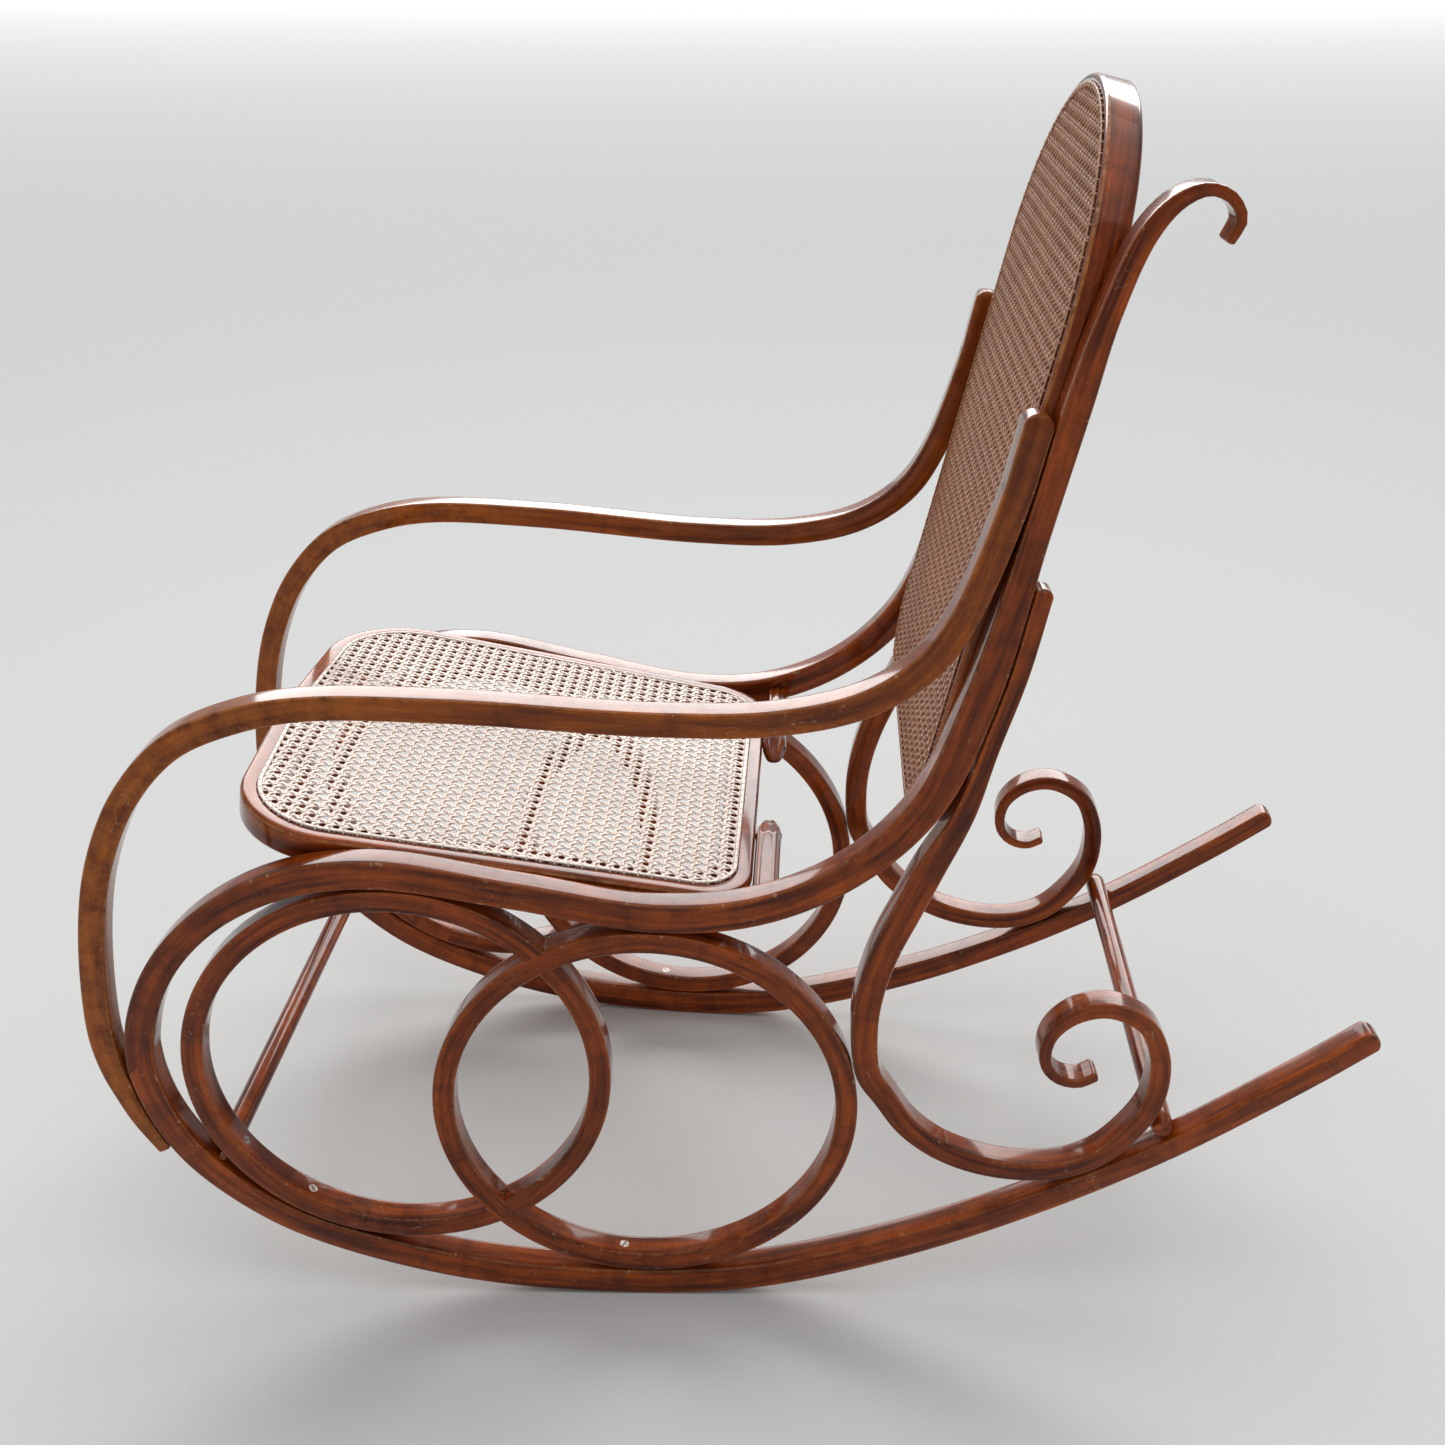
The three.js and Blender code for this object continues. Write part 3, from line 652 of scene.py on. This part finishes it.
def rim_section(rim, thick, soft, lip):
    """Profile of a panel frame as (inset, height): round outside, with a shallow step to the caned lip."""
    quarter = np.linspace(0, math.pi / 2, 7)
    points = [(soft - soft * math.sin(a), -thick + soft - soft * math.cos(a)) for a in quarter]
    points += [(soft - soft * math.cos(a), -soft + soft * math.sin(a)) for a in quarter]
    points += [(lip - 1.5, 0), (lip, -0.5), (lip + 0.6, -1.2)]
    points += [(rim - 2 + 2 * math.sin(a), -3.2 + 2 * math.cos(a)) for a in quarter[::2]]
    points += [(rim - 2 + 2 * math.cos(a), -thick + 2 - 2 * math.sin(a)) for a in quarter[::2]]
    return points


def rim(name, outline, section, place, material, seed):
    """A panel frame, lofted round its outline."""
    flat = [(outline(inset), height) for inset, height in section]
    rings = [np.column_stack([points, np.full(len(points), height)]) for points, height in flat]
    count, around = len(rings[0]), len(rings)
    vertices = [place @ (Vector(p) * MM) for ring in rings for p in ring]
    faces = [(r * count + i, r * count + (i + 1) % count, (r + 1) % around * count + (i + 1) % count,
              (r + 1) % around * count + i) for r in range(around) for i in range(count)]
    run = lengths(np.column_stack([rings[0][:, :2], np.zeros(count)]))
    grain = [(run[i] * MM + seed, inset * MM, height * MM) for inset, height in section for i in range(count)]
    # Marks the top outer arris, which the wood's finish paints pale: edge wear and chips, and a painted edge
    # highlight.
    on_edge = [0.5 < k % 14 < 12 and inset < 2 and height > -4 for k, (inset, height) in enumerate(section)]
    return sawn(name, vertices, faces, material, grain=grain, corner=np.repeat(on_edge, count))


class ROCKER_OT_panel_frames(bpy.types.Operator):
    """Build the frames of the seat and the back"""

    bl_idname = "rocker.panel_frames"
    bl_label = "Panel Frames"

    def execute(self, context):
        wood = context.scene.rocker_wood
        # The seat frame turns golden towards its front: rub wear and a painted highlight.
        material = stained_wood("Stained panel beech", wood.stain, wood.stain_light, 1.0, -0.38)
        seat_section = rim_section(SEAT_RIM, SEAT_THICK, 4.5, 15)
        back_section = rim_section(BACK_RIM, BACK_THICK, 4, 8.5)
        seat = rim("seat_frame_wood", seat_outline, seat_section, SEAT_PLACE, material, 41.0)
        back = rim("back_frame_wood", back_outline, back_section, BACK_PLACE, material, 47.0)
        settle(seat, ["seat_frame"])
        settle(back, ["back_frame"])
        return {"FINISHED"}


def crossings(polygon, start, heading):
    """Where a line meets a closed outline, as sorted distances along the line."""
    a = polygon - start
    b = np.roll(polygon, -1, axis=0) - start
    normal = np.array([-heading[1], heading[0]])
    sa, sb = a @ normal, b @ normal
    hit = (sa > 0) != (sb > 0)
    t = sa[hit] / (sa[hit] - sb[hit])
    return np.sort((a[hit] + (b[hit] - a[hit]) * t[:, None]) @ heading)


def strand(polygon, start, heading, knots):
    """One strand across the outline, with a height at each knot: dives into its hole at both ends."""
    meets = crossings(polygon, start, heading)
    if len(meets) < 2 or meets[-1] - meets[0] < 4:
        return None
    low, high = meets[0], meets[-1]
    inside = [(s, z) for s, z in knots if low + 1.5 < s < high - 1.5]
    ends = [(low - 1.2, -2.2), (low + 0.6, 0.4)], [(high - 0.6, 0.4), (high + 1.2, -2.2)]
    return [(*(start + heading * s), z) for s, z in (*ends[0], *inside, *ends[1])]


def weave(polygon, pitch, pair, thick):
    """The straight and the slanting strands of six-way caning, as lists of points in millimetres."""
    low, high = polygon.min(axis=0), polygon.max(axis=0)
    middle = (low + high) / 2
    count = int(max(high - low) / pitch) + 4
    rows = range(-count // 2 - 1, count // 2 + 2)
    lift = 0.5 * thick
    straight, slant = [], []
    for axis in (0, 1):
        heading = np.array([0.0, 1.0]) if axis == 0 else np.array([1.0, 0.0])
        across = heading[::-1]
        for i in rows:
            for half in (-1, 1):
                start = middle + across * (i * pitch + half * pair / 2)
                over = half * lift * (-1 if axis == 0 else 1)
                knots = []
                for j in rows:
                    knots += [(j * pitch - pair / 2, -over), (j * pitch + pair / 2, over)]
                    knots.append(((j + 0.5) * pitch, 0.0))
                straight.append(strand(polygon, start, heading, knots))
    for lean in (1, -1):
        heading = np.array([1.0, lean]) / math.sqrt(2)
        for i in range(-2 * count, 2 * count):
            start = middle + np.array([(i + 0.5) * pitch, 0.0])
            knots = []
            for j in range(-2 * count, 2 * count):
                s = j * pitch / math.sqrt(2)
                over = 1 if (j % 2 == 0) == (lean > 0) else -1
                knots += [(s, -over * 1.05 * thick), (s + pitch / math.sqrt(8), 0.0)]
            slant.append(strand(polygon, start, heading, knots))
    return [s for s in straight if s], [s for s in slant if s]


def strand_tree():
    """Sweeps a flat oval section along flat strands, then lays the whole panel in its place."""
    net, given = shape_tree("Cane Strands", [
        ("Width", "NodeSocketFloat", 0.0026), ("Thickness", "NodeSocketFloat", 0.0011),
        ("Turn", "NodeSocketFloat", 0.0), ("Place", "NodeSocketVector", None),
        ("Material", "NodeSocketMaterial", None)])
    curve = net.node("GeometryNodeMeshToCurve", None, {0: given["Geometry"]})
    level = net.node("GeometryNodeSetCurveNormal", {"mode": "Z_UP"}, {0: curve})
    along = net.node("GeometryNodeSplineParameter", None, None, 1)
    kept = stored(net, level, "grain",
                  net.node("ShaderNodeCombineXYZ", None, {0: along, 1: named(net, "strand")}))
    oval = net.node("GeometryNodeCurvePrimitiveCircle", None, {"Resolution": 6, "Radius": 0.5})
    size = net.node("ShaderNodeCombineXYZ", None, {0: given["Width"], 1: given["Thickness"], 2: 1.0})
    section = net.node("GeometryNodeTransform", None, {"Geometry": oval, "Scale": size})
    ribbon = net.node("GeometryNodeCurveToMesh", None,
                      {"Curve": kept, "Profile Curve": section, "Fill Caps": True})
    turn = net.node("ShaderNodeCombineXYZ", None, {0: given["Turn"]})
    rotation = net.node("FunctionNodeEulerToRotation", None, {0: turn})
    laid = net.node("GeometryNodeTransform", None,
                    {"Geometry": ribbon, "Translation": given["Place"], "Rotation": rotation})
    finish_tree(net, laid, given["Material"])
    return net.tree


def lay_strands(name, runs, tree, width, thickness, place, material):
    number = np.concatenate([np.full(len(run), float(i)) for i, run in enumerate(runs)])
    mesh = seed_mesh(name, [[Vector(p) * MM for p in run] for run in runs], loops=True, strand=number)
    return grow(name, mesh, tree, {
        "Width": width, "Thickness": thickness, "Turn": place.to_euler().x,
        "Place": tuple(place.translation), "Material": material})


def binder_loops(outline, pitch):
    """Short loops that hold the binder down, one at each hole round the edge."""
    far = lengths(np.column_stack([np.vstack([outline, outline[:1]]), np.zeros(len(outline) + 1)]))
    closed = np.vstack([outline, outline[:1]])
    count = round(far[-1] / pitch)
    arch = ((-2.6, -1.0), (-2.1, 1.3), (0, 2.0), (2.1, 1.3), (2.6, -1.0))
    runs = []
    for place in np.arange(count) * far[-1] / count:
        here = np.array([np.interp(place, far, closed[:, k]) for k in (0, 1)])
        ahead = np.array([np.interp((place + 1) % far[-1], far, closed[:, k]) for k in (0, 1)]) - here
        across = np.array([-ahead[1], ahead[0]]) / max(np.linalg.norm(ahead), 1e-6)
        runs.append([(*(here + across * s), z) for s, z in arch])
    return runs


class ROCKER_OT_caning(bpy.types.Operator):
    """Weave the seat and the back, and bind their edges"""

    bl_idname = "rocker.caning"
    bl_label = "Caning"

    def execute(self, context):
        cane = context.scene.rocker_cane
        tree = strand_tree()
        pitch, thick = cane.pitch / MM, cane.thickness / MM
        for panel, outline, inset, place, colour, gloss, fineness in (
            ("seat", seat_outline, 17, SEAT_PLACE, cane.seat, 0.9, 1.0),
            ("back", back_outline, 10, BACK_PLACE, cane.back, 0.3, 0.84),
        ):
            material = caned(f"Cane of the {panel}", colour, gloss)
            width = cane.width * fineness
            straight, slant = weave(outline(inset), pitch, cane.pair * fineness / MM, thick)
            made = [
                lay_strands(f"{panel}_cane_straight", straight, tree, width, cane.thickness, place, material),
                lay_strands(f"{panel}_cane_slanting", slant, tree, width, cane.thickness, place, material),
            ]
            edge = outline(inset)
            ring = [(x, y, 1.2) for x, y in np.vstack([edge, edge[:2]])]
            made.append(lay_strands(f"{panel}_cane_binder", [ring], tree, 0.0045, 0.0014, place, material))
            loops = binder_loops(edge, pitch)
            made.append(lay_strands(f"{panel}_cane_loops", loops, tree, 0.0022, 0.0009, place, material))
            for piece in made:
                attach(piece, "root")
            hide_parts(f"{panel}_cane")
        return {"FINISHED"}


# ---- bars, brackets and screws ----

STATIONS = 60  # sections along a bar or a bracket
TENON_RADIUS = 3.5
FRONT_BAR_Y = -469


class ROCKER_OT_stretchers(bpy.types.Operator):
    """Build the two round bars across the chair"""

    bl_idname = "rocker.stretchers"
    bl_label = "Stretchers"

    def execute(self, context):
        tree = bpy.data.node_groups["Bent Member"]
        material = bpy.data.materials["Stained bent beech"]
        for name, seed in (("front_stretcher", 53.0), ("rear_stretcher", 59.0)):
            low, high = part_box(name)
            radius = (high[2] - low[2]) / 2
            middle = Vector(((low[0] + high[0]) / 2, (low[1] + high[1]) / 2, (low[2] + high[2]) / 2))
            half = high[0]
            places = np.linspace(-half, half, STATIONS)
            size = np.full(STATIONS, radius)
            size[[0, -1]] = radius * 0.75
            if name == "front_stretcher":
                size = np.where(np.abs(places) > half_room(FRONT_BAR_Y) * MM, TENON_RADIUS * MM, size)
            axis = [middle + Vector((x, 0, 0)) for x in places]
            mesh = seed_mesh(name, axis, half_depth=size, half_stock=size, left=[(0, 0, 1)] * STATIONS,
                             side=[(0, 1, 0)] * STATIONS, scarf=np.zeros(STATIONS), run=places + half)
            piece = grow(name + "_wood", mesh, tree, {
                "Sides": 32, "Squareness": 1.0, "Grain Start": (seed, 0.3 * seed, 0.7 * seed),
                "Material": material})
            settle(piece, [name])
        return {"FINISHED"}


class ROCKER_OT_brackets(bpy.types.Operator):
    """Build the moulded brackets behind the seat"""

    bl_idname = "rocker.brackets"
    bl_label = "Brackets"

    def execute(self, context):
        low, high = (np.array(v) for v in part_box("left_seat_bracket"))
        material = bpy.data.materials["Stained bent beech"]
        middle, half = (low + high) / 2, (high - low) / 2
        around = 48
        vertices, grain, corner = [], [], []
        for i in range(STATIONS):
            share = i / (STATIONS - 1)
            x = high[0] + share * (low[0] - high[0])
            leaf = max(0.0, (share - 0.72) / 0.28)
            swell = 1 + 0.12 * math.sin(math.pi * min(1, leaf * 1.6)) if leaf else 1
            wide = half[1] * swell * math.sqrt(max(0.0, 1 - leaf ** 2.2)) + 0.0002
            tall = half[2] * (1 - 0.35 * leaf) * math.sqrt(max(0.0, 1 - leaf ** 3)) + 0.0002
            for k in range(around):
                angle = 2 * math.pi * k / around
                c, s = math.cos(angle), math.sin(angle)
                py = math.copysign(abs(c) ** 0.55, c)
                pz = math.copysign(abs(s) ** 0.55, s)
                above, beside = s > 0.3, abs(c) > 0.8
                ridge = (0.0011 * math.cos(py * 3 * math.pi) * above
                         + 0.0008 * math.cos(pz * 3 * math.pi) * beside)
                vertices.append((x, middle[1] + py * (wide + ridge * beside),
                                 middle[2] + pz * (tall + ridge * above) - 0.004 * leaf))
                grain.append((61 + share * 0.15, py * wide, pz * tall))
                corner.append(abs(py * pz))
        faces = []
        for i in range(STATIONS - 1):
            here, ahead = i * around, (i + 1) * around
            for k in range(around):
                following = (k + 1) % around
                faces.append((here + k, here + following, ahead + following, ahead + k))
        last = (STATIONS - 1) * around
        faces += [tuple(range(around)), tuple(range(last, last + around))[::-1]]
        piece = sawn("left_seat_bracket_wood", vertices, faces, material, grain=grain, corner=corner)
        other = mirrored(piece, "right_seat_bracket_wood", 3.3)
        settle(piece, ["left_seat_bracket"])
        settle(other, ["right_seat_bracket"])
        return {"FINISHED"}


SCREWS = ("arm_foot_screw_upper", "arm_foot_screw_lower", "front_ring_stretcher_screw",
          "front_ring_rocker_screw", "front_ring_rail_screw", "rear_ring_rocker_screw",
          "rear_ring_rail_screw", "arm_end_screw", "brace_top_screw")


def screw_tree():
    """Puts a slotted, countersunk head on each point, facing along its direction."""
    net, given = shape_tree("Slotted Screws", [
        ("Radius", "NodeSocketFloat", 0.0048), ("Slot", "NodeSocketFloat", 0.0013),
        ("Material", "NodeSocketMaterial", None)])
    head = net.node("GeometryNodeMeshCylinder", None,
                    {"Vertices": 28, "Radius": given["Radius"], "Depth": 0.0024, "Side Segments": 1})
    size = net.node("ShaderNodeCombineXYZ", None, {0: given["Slot"], 1: given["Radius"] * 3.0, 2: 0.0018})
    slot = net.node("GeometryNodeMeshCube", None, {"Size": size})
    raised = net.node("GeometryNodeTransform", None, {"Geometry": slot, "Translation": (0, 0, 0.0012)})
    cut = net.node("GeometryNodeMeshBoolean", {"operation": "DIFFERENCE"}, {"Mesh 1": head, "Mesh 2": raised})
    facing = net.node("FunctionNodeAlignRotationToVector", {"axis": "Z"},
                      {"Vector": named(net, "facing", "FLOAT_VECTOR")})
    turn = net.node("FunctionNodeAxisAngleToRotation", None, {"Axis": (0, 0, 1), "Angle": named(net, "turn")})
    turned = net.node("FunctionNodeRotateRotation", {"rotation_space": "LOCAL"}, {0: facing, 1: turn})
    placed = net.node("GeometryNodeInstanceOnPoints", None,
                      {"Points": given["Geometry"], "Instance": cut, "Rotation": turned})
    real = net.node("GeometryNodeRealizeInstances", None, {0: placed})
    painted = net.node("GeometryNodeSetMaterial", None, {"Geometry": real, "Material": given["Material"]})
    net.node("NodeGroupOutput", None, {0: painted})
    return net.tree


class ROCKER_OT_screws(bpy.types.Operator):
    """Set the slotted screws"""

    bl_idname = "rocker.screws"
    bl_label = "Screws"

    def execute(self, context):
        points, facing = [], []
        for name in SCREWS:
            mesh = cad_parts[f"left_{name}"]
            places = np.array([mesh.matrix_world @ v.co for v in mesh.data.vertices])
            centre = places.mean(axis=0)
            _, _, axes = np.linalg.svd(places - centre)
            axis = axes[0]
            spread = (places - centre) @ axis
            wide = np.linalg.norm(places - centre - spread[:, None] * axis, axis=1)
            if spread[wide.argmax()] < 0:
                axis, spread = -axis, -spread
            top = centre_line(places, axis, spread) + axis * spread.max()
            points.append(top - axis * 0.0007)
            facing.append(axis)
        flip = np.array([-1, 1, 1])
        points = np.vstack([points, np.array(points) * flip])
        facing = np.vstack([facing, np.array(facing) * flip])
        turns = np.random.default_rng(8).uniform(0, math.pi, len(points))
        mesh = valued_mesh("screw_places", points.tolist(), [], [], facing=facing, turn=turns)
        piece = grow("slotted_screws", mesh, screw_tree(),
                     {"Radius": 0.0046, "Slot": 0.0013, "Material": steel()})
        settle(piece, [f"{side}_{name}" for side in SIDES for name in SCREWS])
        return {"FINISHED"}


def centre_line(places, axis, spread):
    """A point on a screw's axis, level with the middle of its length."""
    near = places[spread < spread.min() + 0.0005]
    tip = (near.max(axis=0) + near.min(axis=0)) / 2
    return tip - axis * spread.min()


# ---- finishes ----


def material_net(name):
    material = bpy.data.materials.new(name)
    material.use_nodes = True
    return material, Net(material.node_tree)


def surface(net, sockets, bump=None):
    """Ends a material in one Principled shader."""
    if bump:
        sockets = {**sockets, "Normal": bump}
    shader = net.node("ShaderNodeBsdfPrincipled", None, sockets)
    net.node("ShaderNodeOutputMaterial", None, {"Surface": shader})


def blend(net, factor, a, b):
    """A colour between two others."""
    return net.node("ShaderNodeMix", {"data_type": "RGBA"}, {0: factor, 6: a, 7: b}, 2)


def tinted(colour, red, green, blue):
    """A colour with its three parts scaled."""
    return colour[0] * red, colour[1] * green, colour[2] * blue, 1.0


def noise(net, place, scale, detail=2.0, rough=0.5, distortion=0.0):
    """Noise of 0 to 1 at `scale` per metre, along each axis or along all alike."""
    stretched = net.vector("MULTIPLY", place, tuple(np.broadcast_to(scale, 3).tolist()))
    return net.node("ShaderNodeTexNoise", None, {"Vector": stretched, "Scale": 1.0, "Detail": detail,
                                                 "Roughness": rough, "Distortion": distortion})


def band(value, low, high):
    """0 below low, 1 above high."""
    return ((value - low) / (high - low)).clamped()


def stained_wood(name, dark, light, wear_and_highlight, handled_and_highlit=None):
    """Beech under stain and polish, grained along the bend; pale along its arrises, with edge wear and a
    painted edge highlight, and golden in front of a given y, with rub wear and a painted highlight.
    """
    material, net = material_net(name)
    place = net.node("ShaderNodeAttribute", {"attribute_name": "grain"}, None, 1)
    corner = net.node("ShaderNodeAttribute", {"attribute_name": "corner"}, None, 2)
    streak = noise(net, place, (7, 95, 95), 4, 0.6, 0.4)
    fibre = noise(net, place, (45, 900, 900), 3, 0.6)
    cloud = noise(net, place, (36, 14, 14), 3, 0.55, 0.6)
    fleck = noise(net, place, (330, 1300, 1300), 1, 0.5)
    scuff_and_highlight_patches = noise(net, place, 60, 4, 0.7)
    base = blend(net, band(streak, 0.35, 0.68), (*dark, 1.0), (*light, 1.0))
    base = blend(net, band(cloud, 0.45, 0.72) * 0.52, base, tinted(dark, 0.45, 0.4, 0.45))
    base = blend(net, band(fibre, 0.5, 0.72) * 0.35, base, tinted(dark, 0.5, 0.45, 0.5))
    base = blend(net, band(fleck, 0.62, 0.7) * 0.5, base, tinted(dark, 0.35, 0.3, 0.3))
    # Pale orange along the arrises, broken up by noise: edge wear, and a painted edge highlight.
    rubbed_and_highlit = (band(corner, 0.80, 0.97) * band(scuff_and_highlight_patches, 0.34, 0.60)) * (0.6 * wear_and_highlight)
    base = blend(net, rubbed_and_highlit.clamped(), base, (0.62, 0.27, 0.10, 1.0))
    chips = band(corner, 0.7, 0.95) * band(noise(net, place, 150, 2, 0.6), 0.66, 0.7)
    base = blend(net, chips * 0.8, base, (0.55, 0.36, 0.20, 1.0))
    # Golden towards the front, broken up by noise: rub wear, and a painted highlight.
    if handled_and_highlit is not None:
        along = net.node("ShaderNodeSeparateXYZ", None, {0: net.node("ShaderNodeTexCoord", None, None, 3)}, 1)
        golden = band(along, handled_and_highlit, handled_and_highlit - 0.12) * band(scuff_and_highlight_patches, 0.36, 0.62)
        base = blend(net, golden * 0.3, base, (0.66, 0.20, 0.02, 1.0))
    wander = noise(net, place, (38, 60, 60), 1, 0.5, 1.2)
    hair = (1 - band(abs(wander - 0.5), 0.0015, 0.006)) * band(noise(net, place, 14, 2), 0.58, 0.64)
    base = blend(net, hair * (0.35 * wear_and_highlight), base, (0.62, 0.40, 0.24, 1.0))
    roughness = 0.24 + 0.22 * band(scuff_and_highlight_patches, 0.45, 0.8) + 0.08 * fibre
    height = fibre * 0.5 + streak * 0.5 - chips * 2
    bump = net.node("ShaderNodeBump", None, {"Strength": 0.25, "Distance": 0.0004, "Height": height})
    surface(net, {"Base Color": base, "Roughness": roughness,
                  "Coat Weight": 1.0, "Coat Roughness": 0.09, "Coat IOR": 1.3,
                  "Specular IOR Level": 0.12, "Specular Tint": (1.0, 0.55, 0.35, 1.0)}, bump)
    return material


def caned(name, colour, gloss):
    """Split cane: a glossy skin with fine lines along it, and strands that differ a little."""
    material, net = material_net(name)
    place = net.node("ShaderNodeAttribute", {"attribute_name": "grain"}, None, 1)
    object_place = net.node("ShaderNodeTexCoord", None, None, 3)
    each = noise(net, place, (9, 3.7, 1), 2, 0.6)
    spots = noise(net, object_place, 160, 2, 0.6)
    patches = noise(net, object_place, 9, 2, 0.5)
    full = (*colour, 1.0)
    pale = tuple(min(1.0, c * 1.32 + 0.03) for c in colour) + (1.0,)
    deep = tinted(colour, 0.66, 0.58, 0.52)
    base = blend(net, band(each, 0.36, 0.68), full, pale)
    base = blend(net, band(spots, 0.56, 0.74) * 0.45, base, deep)
    base = blend(net, band(patches, 0.5, 0.8) * 0.35, base, deep)
    bump = net.node("ShaderNodeBump", None, {"Strength": 0.3, "Distance": 0.0003, "Height": spots})
    surface(net, {"Base Color": base, "Roughness": 0.38 + 0.2 * spots, "Coat Weight": gloss,
                  "Coat Roughness": 0.34}, bump)
    return material


def steel():
    """Old screw steel, dull with some brown in it."""
    material, net = material_net("Old screw steel")
    place = net.node("ShaderNodeTexCoord", None, None, 3)
    rust = noise(net, place, 420, 4, 0.65)
    base = blend(net, band(rust, 0.48, 0.66), (0.46, 0.43, 0.39, 1.0), (0.16, 0.10, 0.065, 1.0))
    bump = net.node("ShaderNodeBump", None, {"Strength": 0.4, "Distance": 0.0003, "Height": rust})
    surface(net, {"Base Color": base, "Metallic": 1.0 - band(rust, 0.55, 0.7) * 0.6,
                  "Roughness": 0.34 + 0.3 * rust}, bump)
    return material


def floor_material(colour):
    material, net = material_net("Pale floor")
    place = net.node("ShaderNodeTexCoord", None, None, 3)
    grit = noise(net, place, 260, 3, 0.6)
    base = blend(net, band(grit, 0.4, 0.7) * 0.12, (*colour, 1.0), tinted(colour, 0.7, 0.71, 0.72))
    surface(net, {"Base Color": base, "Roughness": 1.0, "Specular IOR Level": 0.0})
    return material


# ---- studio ----


class ROCKER_OT_studio(bpy.types.Operator):
    """Lay the floor, hang the lights and set up the camera"""

    bl_idname = "rocker.studio"
    bl_label = "Studio"

    def execute(self, context):
        studio = context.scene.rocker_studio
        reach = 80.0
        corners = [(-reach, -reach, 0), (reach, -reach, 0), (reach, reach, 0), (-reach, reach, 0)]
        mesh = valued_mesh("studio_floor", corners, [], [(0, 1, 2, 3)])
        mesh.materials.append(floor_material(studio.floor))
        floor = in_scene("studio_floor", mesh)
        self.lamp("overhead", (0, 0, 4), (0, 0, 0.4), (4, 4), studio.overhead)
        self.lamp("far", (-45, 0, 24), (0, 0, 0), (56, 20), studio.overhead * 460)
        world = context.scene.world or bpy.data.worlds.new("Studio")
        context.scene.world = world
        world.use_nodes = True
        world.node_tree.nodes["Background"].inputs["Color"].default_value = (0.93, 0.96, 1.0, 1.0)
        world.node_tree.nodes["Background"].inputs["Strength"].default_value = 0.42
        context.scene.view_settings.view_transform = "Standard"
        self.camera(context, studio)
        return {"FINISHED"}

    def lamp(self, name, place, target, size, power):
        light = bpy.data.lights.new(name, "AREA")
        light.shape = "RECTANGLE"
        light.size, light.size_y = size
        light.energy = power
        lamp = in_scene(name, light)
        lamp.location = place
        lamp.rotation_euler = (Vector(target) - Vector(place)).to_track_quat("-Z", "Y").to_euler()
        lamp.visible_camera = False

    def camera(self, context, studio):
        data = bpy.data.cameras.new("camera")
        data.lens = studio.lens
        data.sensor_width = 36
        data.clip_end = 200
        camera = in_scene("camera", data)
        place = Vector((1.4455, 0.0852 + SHIFT * MM, 1.2545))
        target = Vector((0, SHIFT * MM, 0.5254))
        turn = (target - place).to_track_quat("-Z", "Y")
        camera.location = place
        camera.rotation_euler = (turn.to_matrix() @ Matrix.Rotation(math.radians(-0.15), 3, "Z")).to_euler()
        context.scene.camera = camera


class ROCKER_PT_panel(bpy.types.Panel):
    bl_label = "Bentwood Rocker"
    bl_idname = "ROCKER_PT_panel"
    bl_space_type = "VIEW_3D"
    bl_region_type = "UI"
    bl_category = "Rocker"

    def draw(self, context):
        for group in (context.scene.rocker_wood, context.scene.rocker_cane, context.scene.rocker_studio):
            box = self.layout.box()
            for key in group.__annotations__:
                box.prop(group, key)
        for operator in OPERATORS:
            self.layout.operator(operator.bl_idname)


SETTINGS = {"rocker_wood": WoodSettings, "rocker_cane": CaneSettings, "rocker_studio": StudioSettings}
OPERATORS = (ROCKER_OT_bent_members, ROCKER_OT_panel_frames, ROCKER_OT_caning, ROCKER_OT_stretchers,
             ROCKER_OT_brackets, ROCKER_OT_screws, ROCKER_OT_studio)


def register():
    for kind in (*SETTINGS.values(), *OPERATORS, ROCKER_PT_panel):
        bpy.utils.register_class(kind)
    for key, kind in SETTINGS.items():
        setattr(bpy.types.Scene, key, PointerProperty(type=kind))


def unregister():
    for key in SETTINGS:
        delattr(bpy.types.Scene, key)
    for kind in reversed((*SETTINGS.values(), *OPERATORS, ROCKER_PT_panel)):
        bpy.utils.unregister_class(kind)


def main():
    register()
    bpy.ops.rocker.bent_members()
    bpy.ops.rocker.panel_frames()
    bpy.ops.rocker.caning()
    bpy.ops.rocker.stretchers()
    bpy.ops.rocker.brackets()
    bpy.ops.rocker.screws()
    bpy.ops.rocker.studio()


if __name__ == "__main__":
    main()
